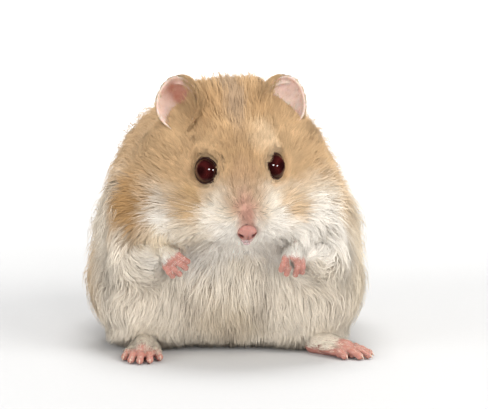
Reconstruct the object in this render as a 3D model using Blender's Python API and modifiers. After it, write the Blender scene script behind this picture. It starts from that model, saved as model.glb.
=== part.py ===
"""A dwarf hamster sitting on its haunches, life size: a still model in closed solids.

Run it with: blender --background --python part.py

The frame is in metres with +Z up. The animal looks along -Y, so +X is its own left side. The
origin is at the bottom centre of the bounding box, on the floor that the animal sits on.

The solids are the outline of the furred animal, out to the tips of the coat. Smooth masses
(rump, back, thighs, cheeks and so on) are fused into one body by a voxel remesh, and the body is
parted into head, neck, trunk and hind legs by thin gaps. Ears, eyes, nose, forelegs, paws, hind
feet and tail are shapes of their own, each in its own object. Claws are joined to their toes.
"""

import math

import bmesh
import bpy
from mathutils import Euler, Matrix, Vector

MM = 0.001  # every size below is in millimetres
GAP = 0.3  # between neighbouring pieces
WELD = 0.08  # points of one piece that lie closer than this become one
SIDES = {"left": 1, "right": -1}  # the animal's own left is towards +X

# Driving dimensions
BODY_HALF_WIDTH = 25.2  # at the rump, with its coat
BACK_TOP = 48.4  # height of the back above the floor
RUMP_BACK = 32.0  # how far the rump reaches behind the origin of the pose
SINK = 1.2  # how far the round underside would reach below the floor that flattens it
HEAD_CENTRE = Vector((0.6, -13.0, 35.0))
HEAD_YAW = 8.5  # degrees, the face turned towards the animal's left
HEAD_ROLL = -2.5  # degrees, the left ear a little higher
EYE_RADIUS = 2.5

# Triangle budgets of the pieces that are remeshed
BODY_TRIANGLES = 2500
FOOT_TRIANGLES = 600
PAW_TRIANGLES = 400
FORELEG_TRIANGLES = 200
TAIL_TRIANGLES = 120

COLOURS = {  # base colour, roughness
    "fur_fawn": ((0.56, 0.38, 0.20), 0.85),
    "fur_cream": ((0.74, 0.64, 0.52), 0.85),
    "skin_pink": ((0.72, 0.42, 0.36), 0.55),
    "ear_pink": ((0.70, 0.45, 0.38), 0.6),
    "nose_pink": ((0.62, 0.28, 0.24), 0.45),
    "eye_ruby": ((0.05, 0.006, 0.005), 0.05),
}


# ---------------------------------------------------------------- scene and material helpers


def clear_scene():
    for obj in list(bpy.data.objects):
        bpy.data.objects.remove(obj)


def collection(name):
    made = bpy.data.collections.new(name)
    bpy.context.scene.collection.children.link(made)
    return made


def material(slot):
    found = bpy.data.materials.get(slot)
    if found:
        return found
    colour, roughness = COLOURS[slot]
    made = bpy.data.materials.new(slot)
    made.use_nodes = True
    surface = made.node_tree.nodes["Principled BSDF"]
    surface.inputs["Base Color"].default_value = (*colour, 1)
    surface.inputs["Roughness"].default_value = roughness
    surface.inputs["Metallic"].default_value = 0
    return made


def object_from(bm, name, where):
    mesh = bpy.data.meshes.new(name)
    bm.to_mesh(mesh)
    bm.free()
    obj = bpy.data.objects.new(name, mesh)
    where.objects.link(obj)
    return obj


# ---------------------------------------------------------------- shapes, in millimetres


def place(centre, turn=(0, 0, 0)):
    """A matrix that puts a shape at centre, turned by Euler angles in degrees."""
    angles = Euler([math.radians(a) for a in turn])
    return Matrix.Translation(Vector(centre) * MM) @ angles.to_matrix().to_4x4()


def add_ellipsoid(bm, centre, radii, turn=(0, 0, 0), segments=32):
    size = Matrix.Diagonal((*(Vector(radii) * MM), 1))
    bmesh.ops.create_uvsphere(
        bm,
        u_segments=segments,
        v_segments=segments // 2,
        radius=1,
        matrix=place(centre, turn) @ size,
    )


def add_limb(bm, points, radii, segments=14):
    """A round limb through the points: a cone between each pair, and a ball at each joint."""
    for centre, radius in zip(points, radii):
        add_ellipsoid(bm, centre, (radius,) * 3, segments=segments)
    for start, end, near, far in zip(points, points[1:], radii, radii[1:]):
        along = Vector(end) - Vector(start)
        middle = (Vector(start) + Vector(end)) / 2
        aim = along.to_track_quat("Z", "Y").to_matrix().to_4x4()
        bmesh.ops.create_cone(
            bm,
            cap_ends=True,
            segments=segments,
            radius1=near * MM,
            radius2=far * MM,
            depth=along.length * MM,
            matrix=Matrix.Translation(middle * MM) @ aim,
        )


def freeze(obj):
    """Applies the object's modifiers, so that the next step works on the finished mesh."""
    bpy.context.view_layer.update()
    graph = bpy.context.evaluated_depsgraph_get()
    mesh = bpy.data.meshes.new_from_object(obj.evaluated_get(graph))
    obj.modifiers.clear()
    obj.data = mesh
    return obj


def fuse(obj, voxel, smoothing, triangles):
    """Overlapping shapes become one smooth closed surface of about that many triangles.

    The voxel size is in millimetres, and smoothing is a number of passes.
    """
    remesh = obj.modifiers.new("fuse", "REMESH")
    remesh.mode = "VOXEL"
    remesh.voxel_size = voxel * MM
    smooth = obj.modifiers.new("soften", "SMOOTH")
    smooth.factor = 0.5
    smooth.iterations = smoothing
    freeze(obj)
    thin = obj.modifiers.new("thin_out", "DECIMATE")
    thin.ratio = min(1, triangles / (2 * len(obj.data.polygons)))
    freeze(obj)
    return triangulate(obj)


def triangulate(obj):
    obj.modifiers.new("triangles", "TRIANGULATE")
    return freeze(obj)


def swollen(obj, by, helpers):
    """A copy with every face moved outwards, which cuts a socket in the piece's neighbours."""
    copy = bpy.data.objects.new(obj.name + "_clearance", obj.data.copy())
    helpers.objects.link(copy)
    copy.matrix_world = obj.matrix_world
    grow = copy.modifiers.new("grow", "DISPLACE")
    grow.mid_level = 0
    grow.strength = by * MM
    freeze(copy)
    return hide(copy)


def hide(obj):
    obj.hide_render = True
    obj.display_type = "WIRE"
    return obj


def boolean(obj, other, operation):
    cut = obj.modifiers.new(operation.lower(), "BOOLEAN")
    cut.operation = operation
    cut.object = other
    cut.solver = "EXACT"
    return freeze(obj)


def overlaps(a, b):
    """Whether two objects' boxes meet, so that a cut between them can matter."""
    boxes = []
    for obj in (a, b):
        corners = [obj.matrix_world @ v.co for v in obj.data.vertices]
        boxes.append([(min(c[k] for c in corners), max(c[k] for c in corners)) for k in range(3)])
    return all(la <= hb and lb <= ha for (la, ha), (lb, hb) in zip(*boxes))


def subtract(obj, *others):
    for other in others:
        if overlaps(obj, other):
            boolean(obj, other, "DIFFERENCE")
    return obj


def copy_of(obj, name, where):
    copy = bpy.data.objects.new(name, obj.data.copy())
    copy.matrix_world = obj.matrix_world
    where.objects.link(copy)
    return copy


def keep_largest_body(obj):
    """Drops crumbs that a cut leaves beside the piece, and welds points that nearly coincide."""
    bm = bmesh.new()
    bm.from_mesh(obj.data)
    bmesh.ops.remove_doubles(bm, verts=bm.verts, dist=WELD * MM)
    bmesh.ops.dissolve_degenerate(bm, edges=bm.edges, dist=WELD * MM / 8)
    bmesh.ops.triangulate(bm, faces=bm.faces)
    unvisited = set(bm.verts)
    bodies = []
    while unvisited:
        body = set()
        to_visit = [unvisited.pop()]
        while to_visit:
            vertex = to_visit.pop()
            body.add(vertex)
            for edge in vertex.link_edges:
                other = edge.other_vert(vertex)
                if other in unvisited:
                    unvisited.remove(other)
                    to_visit.append(other)
        bodies.append(body)
    biggest = max(bodies, key=len)
    crumbs = [v for v in bm.verts if v not in biggest]
    bmesh.ops.delete(bm, geom=crumbs, context="VERTS")
    bm.to_mesh(obj.data)
    bm.free()
    return obj


# ---------------------------------------------------------------- the body


def head_point(x, y, z):
    """A place on the head, from the head's own axes: x to its left, y back, z up."""
    turn = Euler((0, math.radians(HEAD_ROLL), math.radians(HEAD_YAW)))
    return HEAD_CENTRE + turn.to_matrix() @ Vector((x, y, z))


def add_trunk_masses(bm):
    w = BODY_HALF_WIDTH

    def low_mass(x, y, height, radii, toe=0):
        """A mass whose underside reaches a little below the floor."""
        add_ellipsoid(bm, (x, y, height), (*radii, height + SINK), (0, 0, toe))

    rump = (-0.4, RUMP_BACK - 20.3, 19.3)
    loin = (-0.6, 8.0, BACK_TOP - 24.6)
    back = (-0.8, 3.5, BACK_TOP - 20.5)
    nape = (-0.8, -1.5, BACK_TOP - 16.5)
    chest = (0, -12.5, 17.5)
    add_ellipsoid(bm, rump, (w, 20.3, 20.4))
    add_ellipsoid(bm, loin, (w - 2.7, 22.0, 21.8))
    add_ellipsoid(bm, back, (w - 3.1, 22.5, 20.5))
    add_ellipsoid(bm, nape, (w - 6.4, 18.5, 15.8))
    add_ellipsoid(bm, chest, (13, 11, 13))
    low_mass(-0.3, -2, 15.4, (w, 20.5))  # belly
    for side in SIDES.values():
        low_mass(side * 14.2 - 0.3, -7.6, 12.8, (12.4, 14.2), side * -8)  # thigh
        flank = (side * 17.4 - 0.3, -1, 20.5)
        shoulder = (side * 12.0 - 0.4, -7.5, 25)
        add_ellipsoid(bm, flank, (8.6, 14, 9.5))
        add_ellipsoid(bm, shoulder, (11.4, 13.5, 13.5), (0, side * 10, 0))


def add_head_masses(bm):
    def mass(centre, radii, lean=0, toe=0):
        add_ellipsoid(bm, head_point(*centre), radii, (lean, HEAD_ROLL, HEAD_YAW + toe))

    mass((0, 2.3, 3.4), (14.6, 12.3, 12.6))  # brain case and crown
    mass((0, -3.5, 1.0), (11.3, 10.5, 11.0), 20)  # forehead
    mass((0, -7.8, -3.4), (8.6, 8.6, 9.0), 30)  # between the eyes
    mass((0, -12.2, -7.0), (6.0, 6.3, 5.8), 30)  # muzzle
    mass((0, -15.4, -9.1), (3.4, 3.2, 3.0), 30)  # tip of the snout
    mass((0, -9.2, -11.2), (7.0, 6.5, 4.4))  # chin
    for side in SIDES.values():
        mass((side * 4.6, 2.9, 6.4), (5.4, 8.6, 9.8))  # crown, beside the ear
        mass((side * 8.6, 0.5, 1.5), (9.4, 10.0, 9.0))  # temple, behind the eye
        mass((side * 9.8, -1.6, -5.6), (10.6, 11.0, 10.2), 0, side * -12)  # cheek pouch
        mass((side * 7.6, -5.6, -7.6), (8.8, 8.4, 7.8), 0, side * -20)  # front of the cheek
        mass((side * 4.4, -10.6, -8.6), (5.6, 5.8, 5.2))  # lip and whisker pad


def body_form(helpers):
    """Trunk, thighs, neck and head in one skin. The trunk is smoothed more than the face."""
    bm = bmesh.new()
    add_trunk_masses(bm)
    trunk = object_from(bm, "trunk_form", helpers)
    fuse(trunk, voxel=0.9, smoothing=22, triangles=5 * BODY_TRIANGLES)
    hide(trunk)
    bm = bmesh.new()
    bm.from_mesh(trunk.data)
    add_head_masses(bm)
    form = object_from(bm, "body_form", helpers)
    return hide(fuse(form, voxel=0.7, smoothing=10, triangles=BODY_TRIANGLES))


def region_pair(name, centre, radii, helpers):
    """A region of the body, and the same region grown by the gap. They part it from the rest."""
    made = []
    for grown, label in ((0, "region"), (GAP, "region_gap")):
        bm = bmesh.new()
        add_ellipsoid(bm, centre, [r + grown for r in radii], segments=14)
        made.append(hide(object_from(bm, f"{name}_{label}", helpers)))
    return made


def part_body(form, parts, helpers):
    """Head, neck, two hind legs and trunk, each with the gap to its neighbours."""
    regions = {
        "head": ((1.4, -22, 38.2), (24.0, 19.5, 18.8)),
        "neck": ((0.6, -19, 36.6), (26.0, 22.0, 20.6)),
        "hindleg_left": ((17.0, -7, 8.5), (13.2, 18.5, 15.5)),
        "hindleg_right": ((-17.0, -7, 8.5), (13.2, 18.5, 15.5)),
    }
    rest = copy_of(form, "trunk", parts)
    made = {}
    for name, (centre, radii) in regions.items():
        inside, outside = region_pair(name, centre, radii, helpers)
        made[name] = boolean(copy_of(rest, name, parts), inside, "INTERSECT")
        subtract(rest, outside)
    made["trunk"] = rest
    return made


# ---------------------------------------------------------------- limbs, ears, eyes and nose


FORELEG_POINTS = {  # shoulder, elbow, forearm, wrist: the hands hang under the chin
    "left": ((15.0, -10.0, 22.0), (18.4, -17.6, 16.4), (15.6, -21.6, 18.8), (12.3, -24.8, 21.2)),
    "right": ((-15.0, -10.0, 21.4), (-18.2, -18.0, 15.4), (-15.2, -21.8, 17.8), (-11.6, -24.8, 20.5)),
}
FORELEG_RADII = (4.4, 5.0, 4.0, 2.3)


def foreleg(label, parts):
    bm = bmesh.new()
    add_limb(bm, FORELEG_POINTS[label], FORELEG_RADII)
    leg = object_from(bm, "foreleg_" + label, parts)
    return fuse(leg, voxel=0.5, smoothing=4, triangles=FORELEG_TRIANGLES)


PAW_AIM = {  # where the relaxed hand points, and how far it is turned about that line
    "left": (Vector((-0.12, -0.35, -1.0)), -8),
    "right": (Vector((0.72, -0.30, -0.80)), 14),
}
FINGERS = (  # across the hand, length, and how far it splays
    (-1.9, 2.2, -14),
    (-0.65, 2.9, -4),
    (0.70, 2.8, 5),
    (1.9, 2.1, 15),
)
PALM_LENGTH = 2.3
FINGER_RADIUS = 0.62
FOREPAW_CLAW = 0.9


def paw_frame(label):
    """Hand axes: +Z out of the back of the hand, +X along the fingers."""
    aim, twist = PAW_AIM[label]
    along = aim.normalized()
    back = Vector((0, -1, 0.25))
    across = back.cross(along).normalized()
    up = along.cross(across)
    wrist = Vector(FORELEG_POINTS[label][-1])
    axes = Matrix((along, across, up)).transposed()
    return wrist, axes @ Matrix.Rotation(math.radians(twist), 3, "X")


def finger_points(label, sideways, length, spread):
    """Knuckle, middle joint, tip and claw tip of one finger, curled towards the palm."""
    wrist, axes = paw_frame(label)
    angle = math.radians(spread)
    forward = Vector((math.cos(angle), math.sin(angle), 0))
    down = Vector((0, 0, -1))
    knuckle = Vector((PALM_LENGTH, sideways, 0.25))
    middle = knuckle + forward * length * 0.55 + down * length * 0.10
    tip = middle + forward * length * 0.40 + down * length * 0.42
    claw = tip + (forward * 0.45 + down * 0.9).normalized() * FOREPAW_CLAW
    return [wrist + axes @ p for p in (knuckle, middle, tip, claw)]


def forepaw(label, parts):
    wrist, axes = paw_frame(label)
    bm = bmesh.new()
    root = wrist - axes @ Vector((1.6, 0, 0))
    palm = wrist + axes @ Vector((1.5, 0, 0))
    add_limb(bm, [root, wrist, palm], [1.7, 1.7, 1.9])
    for sideways, length, spread in FINGERS:
        knuckle, middle, tip, claw = finger_points(label, sideways, length, spread)
        back = wrist + axes @ Vector((0.4, sideways * 0.55, 0.1))
        radii = [0.8, FINGER_RADIUS + 0.12, FINGER_RADIUS + 0.04, FINGER_RADIUS, CLAW_RADIUS]
        add_limb(bm, [back, knuckle, middle, tip, claw], radii, segments=12)
    paw = object_from(bm, "forepaw_" + label, parts)
    return fuse(paw, voxel=0.19, smoothing=2, triangles=PAW_TRIANGLES)


FOOT_PLACE = {  # heel on the floor, and the way the toes point, in degrees from straight ahead
    "left": (Vector((14.9, -15.4, 0)), 56),
    "right": (Vector((-15.2, -14.6, 0)), -4),
}
TOES = (  # across the foot, where the toe starts, its length, and how far it splays
    (-2.35, 7.6, 2.6, -17),
    (-1.30, 9.2, 3.5, -7),
    (0.0, 9.6, 3.8, 0),
    (1.30, 9.2, 3.4, 8),
    (2.35, 7.4, 2.7, 20),
)
TOE_RADIUS = 0.76
HINDPAW_CLAW = 1.0
CLAW_RADIUS = 0.28


def foot_point(label, x, y, z):
    """A place on the foot: x from the heel towards the toes, y across, z above the floor."""
    heel, angle = FOOT_PLACE[label]
    turn = math.radians(angle) - math.pi / 2
    forward = Vector((math.cos(turn), math.sin(turn), 0))
    across = Vector((-forward.y, forward.x, 0))
    return heel + forward * x + across * y + Vector((0, 0, z))


def toe_points(label, sideways, start, length, spread):
    """Knuckle, arched middle, tip and claw tip of one toe."""
    side_step = math.tan(math.radians(spread))
    shape = ((0.0, 1.20), (0.50, 1.40), (0.96, 0.74))
    points = [
        foot_point(label, start + length * part, sideways + length * part * side_step, height)
        for part, height in shape
    ]
    claw = foot_point(
        label,
        start + length * 0.96 + HINDPAW_CLAW,
        sideways + (length * 0.96 + HINDPAW_CLAW) * side_step,
        0.22,
    )
    return [*points, claw]


def hindfoot(label, parts):
    bm = bmesh.new()
    sole = [foot_point(label, x, 0, z) for x, z in ((1.4, 1.5), (5.0, 1.6), (8.4, 1.35))]
    add_limb(bm, sole, [1.75, 1.95, 1.8])
    ball = foot_point(label, 8.2, 0, 1.25)
    turn = (0, 0, FOOT_PLACE[label][1] - 90)
    add_ellipsoid(bm, ball, (2.6, 3.1, 1.4), turn)
    for sideways, start, length, spread in TOES:
        knuckle, middle, tip, claw = toe_points(label, sideways, start, length, spread)
        root = foot_point(label, start - 3, sideways * 0.7, 1.5)
        radii = [1.0, TOE_RADIUS + 0.12, TOE_RADIUS + 0.02, TOE_RADIUS, CLAW_RADIUS]
        add_limb(bm, [root, knuckle, middle, tip, claw], radii, segments=12)
    foot = object_from(bm, "hindfoot_" + label, parts)
    return fuse(foot, voxel=0.22, smoothing=2, triangles=FOOT_TRIANGLES)


EAR_RADII = Vector((4.3, 2.8, 5.7))  # half width, depth of the cup, half height
EAR_WALL = 0.85
EAR_RIM = 0.10  # how far the rim comes round to the front, of the cup's depth
EAR_SEAT = {  # place on the head, and how the cup is turned about X, Y and Z
    "left": ((9.9, -2.2, 10.8), (-24, 17, 12)),
    "right": ((-9.6, -2.4, 11.9), (-25, -15, -10)),
}


def ear(label, parts):
    """A cup cut from an ellipsoid, open to the front, with a wall of even thickness."""
    place_on_head, turn = EAR_SEAT[label]
    bm = bmesh.new()
    bmesh.ops.create_uvsphere(bm, u_segments=14, v_segments=10, radius=1)
    bmesh.ops.bisect_plane(
        bm,
        geom=[*bm.verts, *bm.edges, *bm.faces],
        plane_co=(0, -EAR_RIM, 0),
        plane_no=(0, -1, 0),
        clear_outer=True,
    )
    bmesh.ops.transform(bm, matrix=Matrix.Diagonal((*(EAR_RADII * MM), 1)), verts=bm.verts)
    obj = object_from(bm, "ear_" + label, parts)
    obj.matrix_world = place(head_point(*place_on_head), turn)
    wall = obj.modifiers.new("wall", "SOLIDIFY")
    wall.thickness = EAR_WALL * MM
    wall.offset = -1
    return triangulate(obj)


EYE_SEAT = {"left": (5.4, -11.3, 0.9), "right": (-5.4, -11.3, 0.9)}


def eye(label, parts):
    bm = bmesh.new()
    add_ellipsoid(bm, head_point(*EYE_SEAT[label]), (EYE_RADIUS,) * 3, segments=14)
    return triangulate(object_from(bm, "eye_" + label, parts))


def nose(parts):
    """The bare pad between the nostrils."""
    bm = bmesh.new()
    turn = (28, HEAD_ROLL, HEAD_YAW)
    add_ellipsoid(bm, head_point(0, -17.0, -10.0), (1.75, 1.25, 1.5), turn, segments=12)
    return triangulate(object_from(bm, "nose", parts))


def tail(parts):
    bm = bmesh.new()
    points = [(0, RUMP_BACK - 10, 8), (0.4, RUMP_BACK - 6, 5.8), (0.8, RUMP_BACK - 4, 3.8)]
    add_limb(bm, points, [2.6, 2.2, 1.5], segments=12)
    stub = object_from(bm, "tail", parts)
    return fuse(stub, voxel=0.4, smoothing=3, triangles=TAIL_TRIANGLES)


# ---------------------------------------------------------------- assembly


def flatten_on_floor(objects, helpers):
    """Cuts everything off at floor level, which leaves the small flats that the animal rests on."""
    bm = bmesh.new()
    width = 200
    bmesh.ops.create_cube(bm, size=width * MM, matrix=place((0, 0, -width / 2)))
    floor = hide(object_from(bm, "floor_cutter", helpers))
    for obj in objects:
        if min((obj.matrix_world @ v.co).z for v in obj.data.vertices) < 0:
            boolean(obj, floor, "DIFFERENCE")


def centre_on_origin(objects):
    """Moves the model so that the origin is at the bottom centre of its bounding box."""
    points = [obj.matrix_world @ v.co for obj in objects for v in obj.data.vertices]
    low = Vector([min(p[k] for p in points) for k in range(3)])
    high = Vector([max(p[k] for p in points) for k in range(3)])
    shift = Vector(((low.x + high.x) / 2, (low.y + high.y) / 2, low.z))
    for obj in objects:
        obj.data.transform(Matrix.Translation(-shift) @ obj.matrix_world)
        obj.matrix_world = Matrix.Identity(4)
    print("size in mm:", [round(s / MM, 2) for s in high - low])
    print("pose origin in the frame, mm:", [round(-s / MM, 3) for s in shift])


SLOTS = {
    "head": "fur_fawn",
    "neck": "fur_fawn",
    "trunk": "fur_fawn",
    "tail": "fur_cream",
    "foreleg": "fur_cream",
    "hindleg": "fur_cream",
    "forepaw": "skin_pink",
    "hindfoot": "skin_pink",
    "ear": "ear_pink",
    "nose": "nose_pink",
    "eye": "eye_ruby",
}


def dress(obj):
    """Gives each piece its material, and smooth shading for its round surfaces."""
    obj.data.materials.clear()
    obj.data.materials.append(material(SLOTS[obj.name.split("_")[0]]))
    obj.data.shade_smooth()
    obj.data.set_sharp_from_angle(angle=math.radians(60))


def build():
    clear_scene()
    parts = collection("sitting_hamster")
    helpers = collection("cutters")
    form = body_form(helpers)
    flesh = part_body(form, parts, helpers)
    forelegs = [foreleg(label, parts) for label in SIDES]
    paws = [forepaw(label, parts) for label in SIDES]
    feet = [hindfoot(label, parts) for label in SIDES]
    ears = [ear(label, parts) for label in SIDES]
    eyes = [eye(label, parts) for label in SIDES]
    nose_pad = nose(parts)
    tail_piece = tail(parts)

    insets = [*forelegs, *feet, *eyes, nose_pad, tail_piece]
    sockets = [swollen(obj, GAP, helpers) for obj in insets]
    for obj in flesh.values():
        subtract(obj, *sockets)
    form_clearance = swollen(form, GAP, helpers)
    foreleg_clearances = [swollen(obj, GAP, helpers) for obj in forelegs]
    for obj in (*ears, *paws):
        subtract(obj, form_clearance, *foreleg_clearances)

    everything = [*flesh.values(), *forelegs, *paws, *feet, *ears, *eyes, nose_pad, tail_piece]
    flatten_on_floor(everything, helpers)
    for obj in everything:
        keep_largest_body(obj)
        dress(obj)
    centre_on_origin(everything)


build()
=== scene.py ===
# %% [markdown]
# # A dwarf hamster sitting on its haunches, life size
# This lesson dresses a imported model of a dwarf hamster. The model gives the outline of the furred
# animal in plain solids. Here it gets one skin, a coat of solid tufts, wet eyes, thin ears, a bare
# nose, and small hands and feet with claws. Lengths are in millimetres until a mesh is made.

# %% Load the frame
import math

import bmesh
import bpy
import numpy as np
from mathutils import Euler, Matrix, Vector
from mathutils.kdtree import KDTree
from mathutils.noise import noise_vector, seed_set


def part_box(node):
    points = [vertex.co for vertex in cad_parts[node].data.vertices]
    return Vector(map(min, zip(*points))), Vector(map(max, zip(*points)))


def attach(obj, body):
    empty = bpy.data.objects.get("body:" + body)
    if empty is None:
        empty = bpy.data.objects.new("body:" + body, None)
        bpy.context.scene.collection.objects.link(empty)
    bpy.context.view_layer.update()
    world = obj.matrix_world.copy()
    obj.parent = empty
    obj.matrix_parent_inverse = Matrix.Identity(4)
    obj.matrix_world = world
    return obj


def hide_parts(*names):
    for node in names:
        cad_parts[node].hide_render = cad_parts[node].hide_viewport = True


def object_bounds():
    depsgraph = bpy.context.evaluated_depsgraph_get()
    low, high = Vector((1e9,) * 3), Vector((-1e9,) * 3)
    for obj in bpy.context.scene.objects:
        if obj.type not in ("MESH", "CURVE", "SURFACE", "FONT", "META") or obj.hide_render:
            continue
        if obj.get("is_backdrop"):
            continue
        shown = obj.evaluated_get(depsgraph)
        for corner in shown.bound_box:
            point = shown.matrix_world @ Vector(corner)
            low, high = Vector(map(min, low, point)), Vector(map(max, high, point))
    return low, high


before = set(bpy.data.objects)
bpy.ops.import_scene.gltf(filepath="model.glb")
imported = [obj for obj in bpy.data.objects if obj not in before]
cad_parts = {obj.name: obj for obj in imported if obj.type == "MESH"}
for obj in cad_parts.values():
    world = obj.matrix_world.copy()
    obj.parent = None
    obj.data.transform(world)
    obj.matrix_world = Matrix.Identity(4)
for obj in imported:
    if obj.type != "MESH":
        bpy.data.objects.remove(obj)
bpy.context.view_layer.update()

MM = 0.001
SIDES = {"left": 1, "right": -1}  # the animal's own left is towards +X


def add_object(name, data):
    made = bpy.data.objects.new(name, data)
    bpy.context.scene.collection.objects.link(made)
    return made


# %% [markdown]
# ## Camera, floor and light
# A small animal is looked at from just above its own height, with a long lens, so that nothing is
# stretched. The lens and the distance together set how large it shows. The floor is a white sheet
# that curls up behind, as in a studio: it has no horizon line. One large soft lamp stands to the
# animal's left and one hangs above it, a little behind. A weak lamp on the other side and the white
# surroundings fill the shadows, and one lamp lights the back of the sheet. Two small lamps in front
# put the sparks in the eyes.

# %% Camera
CAMERA_RISE = math.radians(9)
CAMERA_DISTANCE = 600
CAMERA_LENS = 237.7
LOOK_AT = np.array([2.65, -15.12, 27.72])
view_line = np.array([0, math.cos(CAMERA_RISE), -math.sin(CAMERA_RISE)])
camera_data = bpy.data.cameras.new("camera")
camera_data.lens = CAMERA_LENS
camera_data.clip_start = 0.01
camera = add_object("camera", camera_data)
camera.location = Vector(LOOK_AT - view_line * CAMERA_DISTANCE) * MM
camera.rotation_euler = (math.pi / 2 - CAMERA_RISE, 0, 0)
bpy.context.scene.camera = camera


# %% Helpers for materials
def new_material(name, roughness, specular=0.5):
    """A Principled material. Returns the material, its node tree and its shader."""
    made = bpy.data.materials.new(name)
    made.use_nodes = True
    surface = made.node_tree.nodes["Principled BSDF"]
    surface.inputs["Roughness"].default_value = roughness
    surface.inputs["Specular IOR Level"].default_value = specular
    return made, made.node_tree, surface


def add_node(tree, kind, settings=None, **inputs):
    """A node of that kind. Inputs are values, or sockets to link. '_' stands for a space."""
    node = tree.nodes.new(kind)
    for key, value in (settings or {}).items():
        setattr(node, key, value)
    for key, value in inputs.items():
        socket = node.inputs[int(key[1:])] if key[1:].isdigit() else node.inputs[key.replace("_", " ")]
        if isinstance(value, bpy.types.NodeSocket):
            tree.links.new(value, socket)
        else:
            socket.default_value = value
    return node


def new_group(name, inputs, outputs):
    """A shader node group with typed sockets. Returns the group, its entry and its exit."""
    group = bpy.data.node_groups.new(name, "ShaderNodeTree")
    for label, kind, value in inputs:
        socket = group.interface.new_socket(label, in_out="INPUT", socket_type="NodeSocket" + kind)
        if value is not None:
            socket.default_value = value
    for label, kind in outputs:
        group.interface.new_socket(label, in_out="OUTPUT", socket_type="NodeSocket" + kind)
    return group, group.nodes.new("NodeGroupInput"), group.nodes.new("NodeGroupOutput")


def use_group(tree, group, **inputs):
    return add_node(tree, "ShaderNodeGroup", {"node_tree": group}, **inputs)


def place_in(tree):
    """Where a point lies in its own object."""
    return add_node(tree, "ShaderNodeTexCoord").outputs["Object"]


def value_in(tree, name, output="Fac"):
    """A value that the mesh carries under that name."""
    return add_node(tree, "ShaderNodeAttribute", {"attribute_name": name}).outputs[output]


def reckon(tree, operation, *values, kind="ShaderNodeMath", **settings):
    """What a math node makes of those values, each a number, a tuple or a socket."""
    inputs = {"_" + str(place): value for place, value in enumerate(values)}
    return add_node(tree, kind, {"operation": operation, **settings}, **inputs).outputs


def reckon_vectors(tree, operation, *values):
    return reckon(tree, operation, *values, kind="ShaderNodeVectorMath")


def scaled_by(tree, value, factor):
    """A colour or a vector, times a number."""
    return add_node(tree, "ShaderNodeVectorMath", {"operation": "SCALE"}, _0=value, Scale=factor).outputs[0]


def noise_in(tree, place, scale, detail):
    """The outputs of a noise: Fac is a value, Color three of them."""
    return add_node(tree, "ShaderNodeTexNoise", Vector=place, Scale=scale, Detail=detail).outputs


def mix_colours(tree, share, first, second, blend="MIX"):
    """Between two colours, each a socket or a tuple."""
    settings = {"data_type": "RGBA", "blend_type": blend}
    return add_node(tree, "ShaderNodeMix", settings, _0=share, _6=first, _7=second).outputs[2]


# %% Floor
FLOOR_HALF_WIDTH = 1500
FLOOR_BACK = 420  # where the sheet starts to curl up
CURL_RADIUS = 400
FLOOR_FRONT, SHEET_TOP = -2000, 2500
CURL_STEPS = 12
SHEET_TONES = (0.57, 0.59)
bm = bmesh.new()
outline = [(FLOOR_FRONT, 0), (FLOOR_BACK, 0)]
for step in range(1, CURL_STEPS + 1):
    angle = math.radians(90 * step / CURL_STEPS)
    outline.append((FLOOR_BACK + CURL_RADIUS * math.sin(angle), CURL_RADIUS * (1 - math.cos(angle))))
outline.append((FLOOR_BACK + CURL_RADIUS, SHEET_TOP))
rows = []
for y, z in outline:
    ends = [Vector((x * FLOOR_HALF_WIDTH, y, z)) * MM for x in (-1, 1)]
    rows.append([bm.verts.new(end) for end in ends])
for near, far in zip(rows, rows[1:]):
    bm.faces.new((near[0], near[1], far[1], far[0]))
floor_mesh = bpy.data.meshes.new("floor")
bm.to_mesh(floor_mesh)
bm.free()
floor_mesh.shade_smooth()
floor = add_object("floor", floor_mesh)
floor_paint, tree, surface = new_material("floor_paint", 0.75, 0.2)
place = place_in(tree)
fine_tooth = noise_in(tree, place, 900.0, 3.0)["Fac"]
darkest, lightest = SHEET_TONES
tone = add_node(tree, "ShaderNodeMapRange", Value=fine_tooth, To_Min=darkest, To_Max=lightest)
grey = dict.fromkeys(("Red", "Green", "Blue"), tone.outputs[0])
colour = add_node(tree, "ShaderNodeCombineColor", **grey)
tree.links.new(colour.outputs[0], surface.inputs["Base Color"])
# From behind the sheet can be looked through, so that the animal's back is seen too.
back_face = add_node(tree, "ShaderNodeNewGeometry").outputs["Backfacing"]
clear = add_node(tree, "ShaderNodeBsdfTransparent")
one_sided = add_node(tree, "ShaderNodeMixShader", _0=back_face, _1=surface.outputs[0], _2=clear.outputs[0])
tree.links.new(one_sided.outputs[0], tree.nodes["Material Output"].inputs["Surface"])
floor.data.materials.append(floor_paint)
floor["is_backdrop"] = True
floor.visible_glossy = False


# %% Light
def add_lamp(name, place, target, size, power, colour=(1, 1, 1)):
    data = bpy.data.lights.new(name, "AREA")
    data.shape = "DISK"
    data.size = size * MM
    data.energy = power
    data.color = colour
    lamp = add_object(name, data)
    lamp.location = Vector(place) * MM
    lamp.rotation_euler = (Vector(target) - Vector(place)).to_track_quat("-Z", "Y").to_euler()
    return lamp


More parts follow.
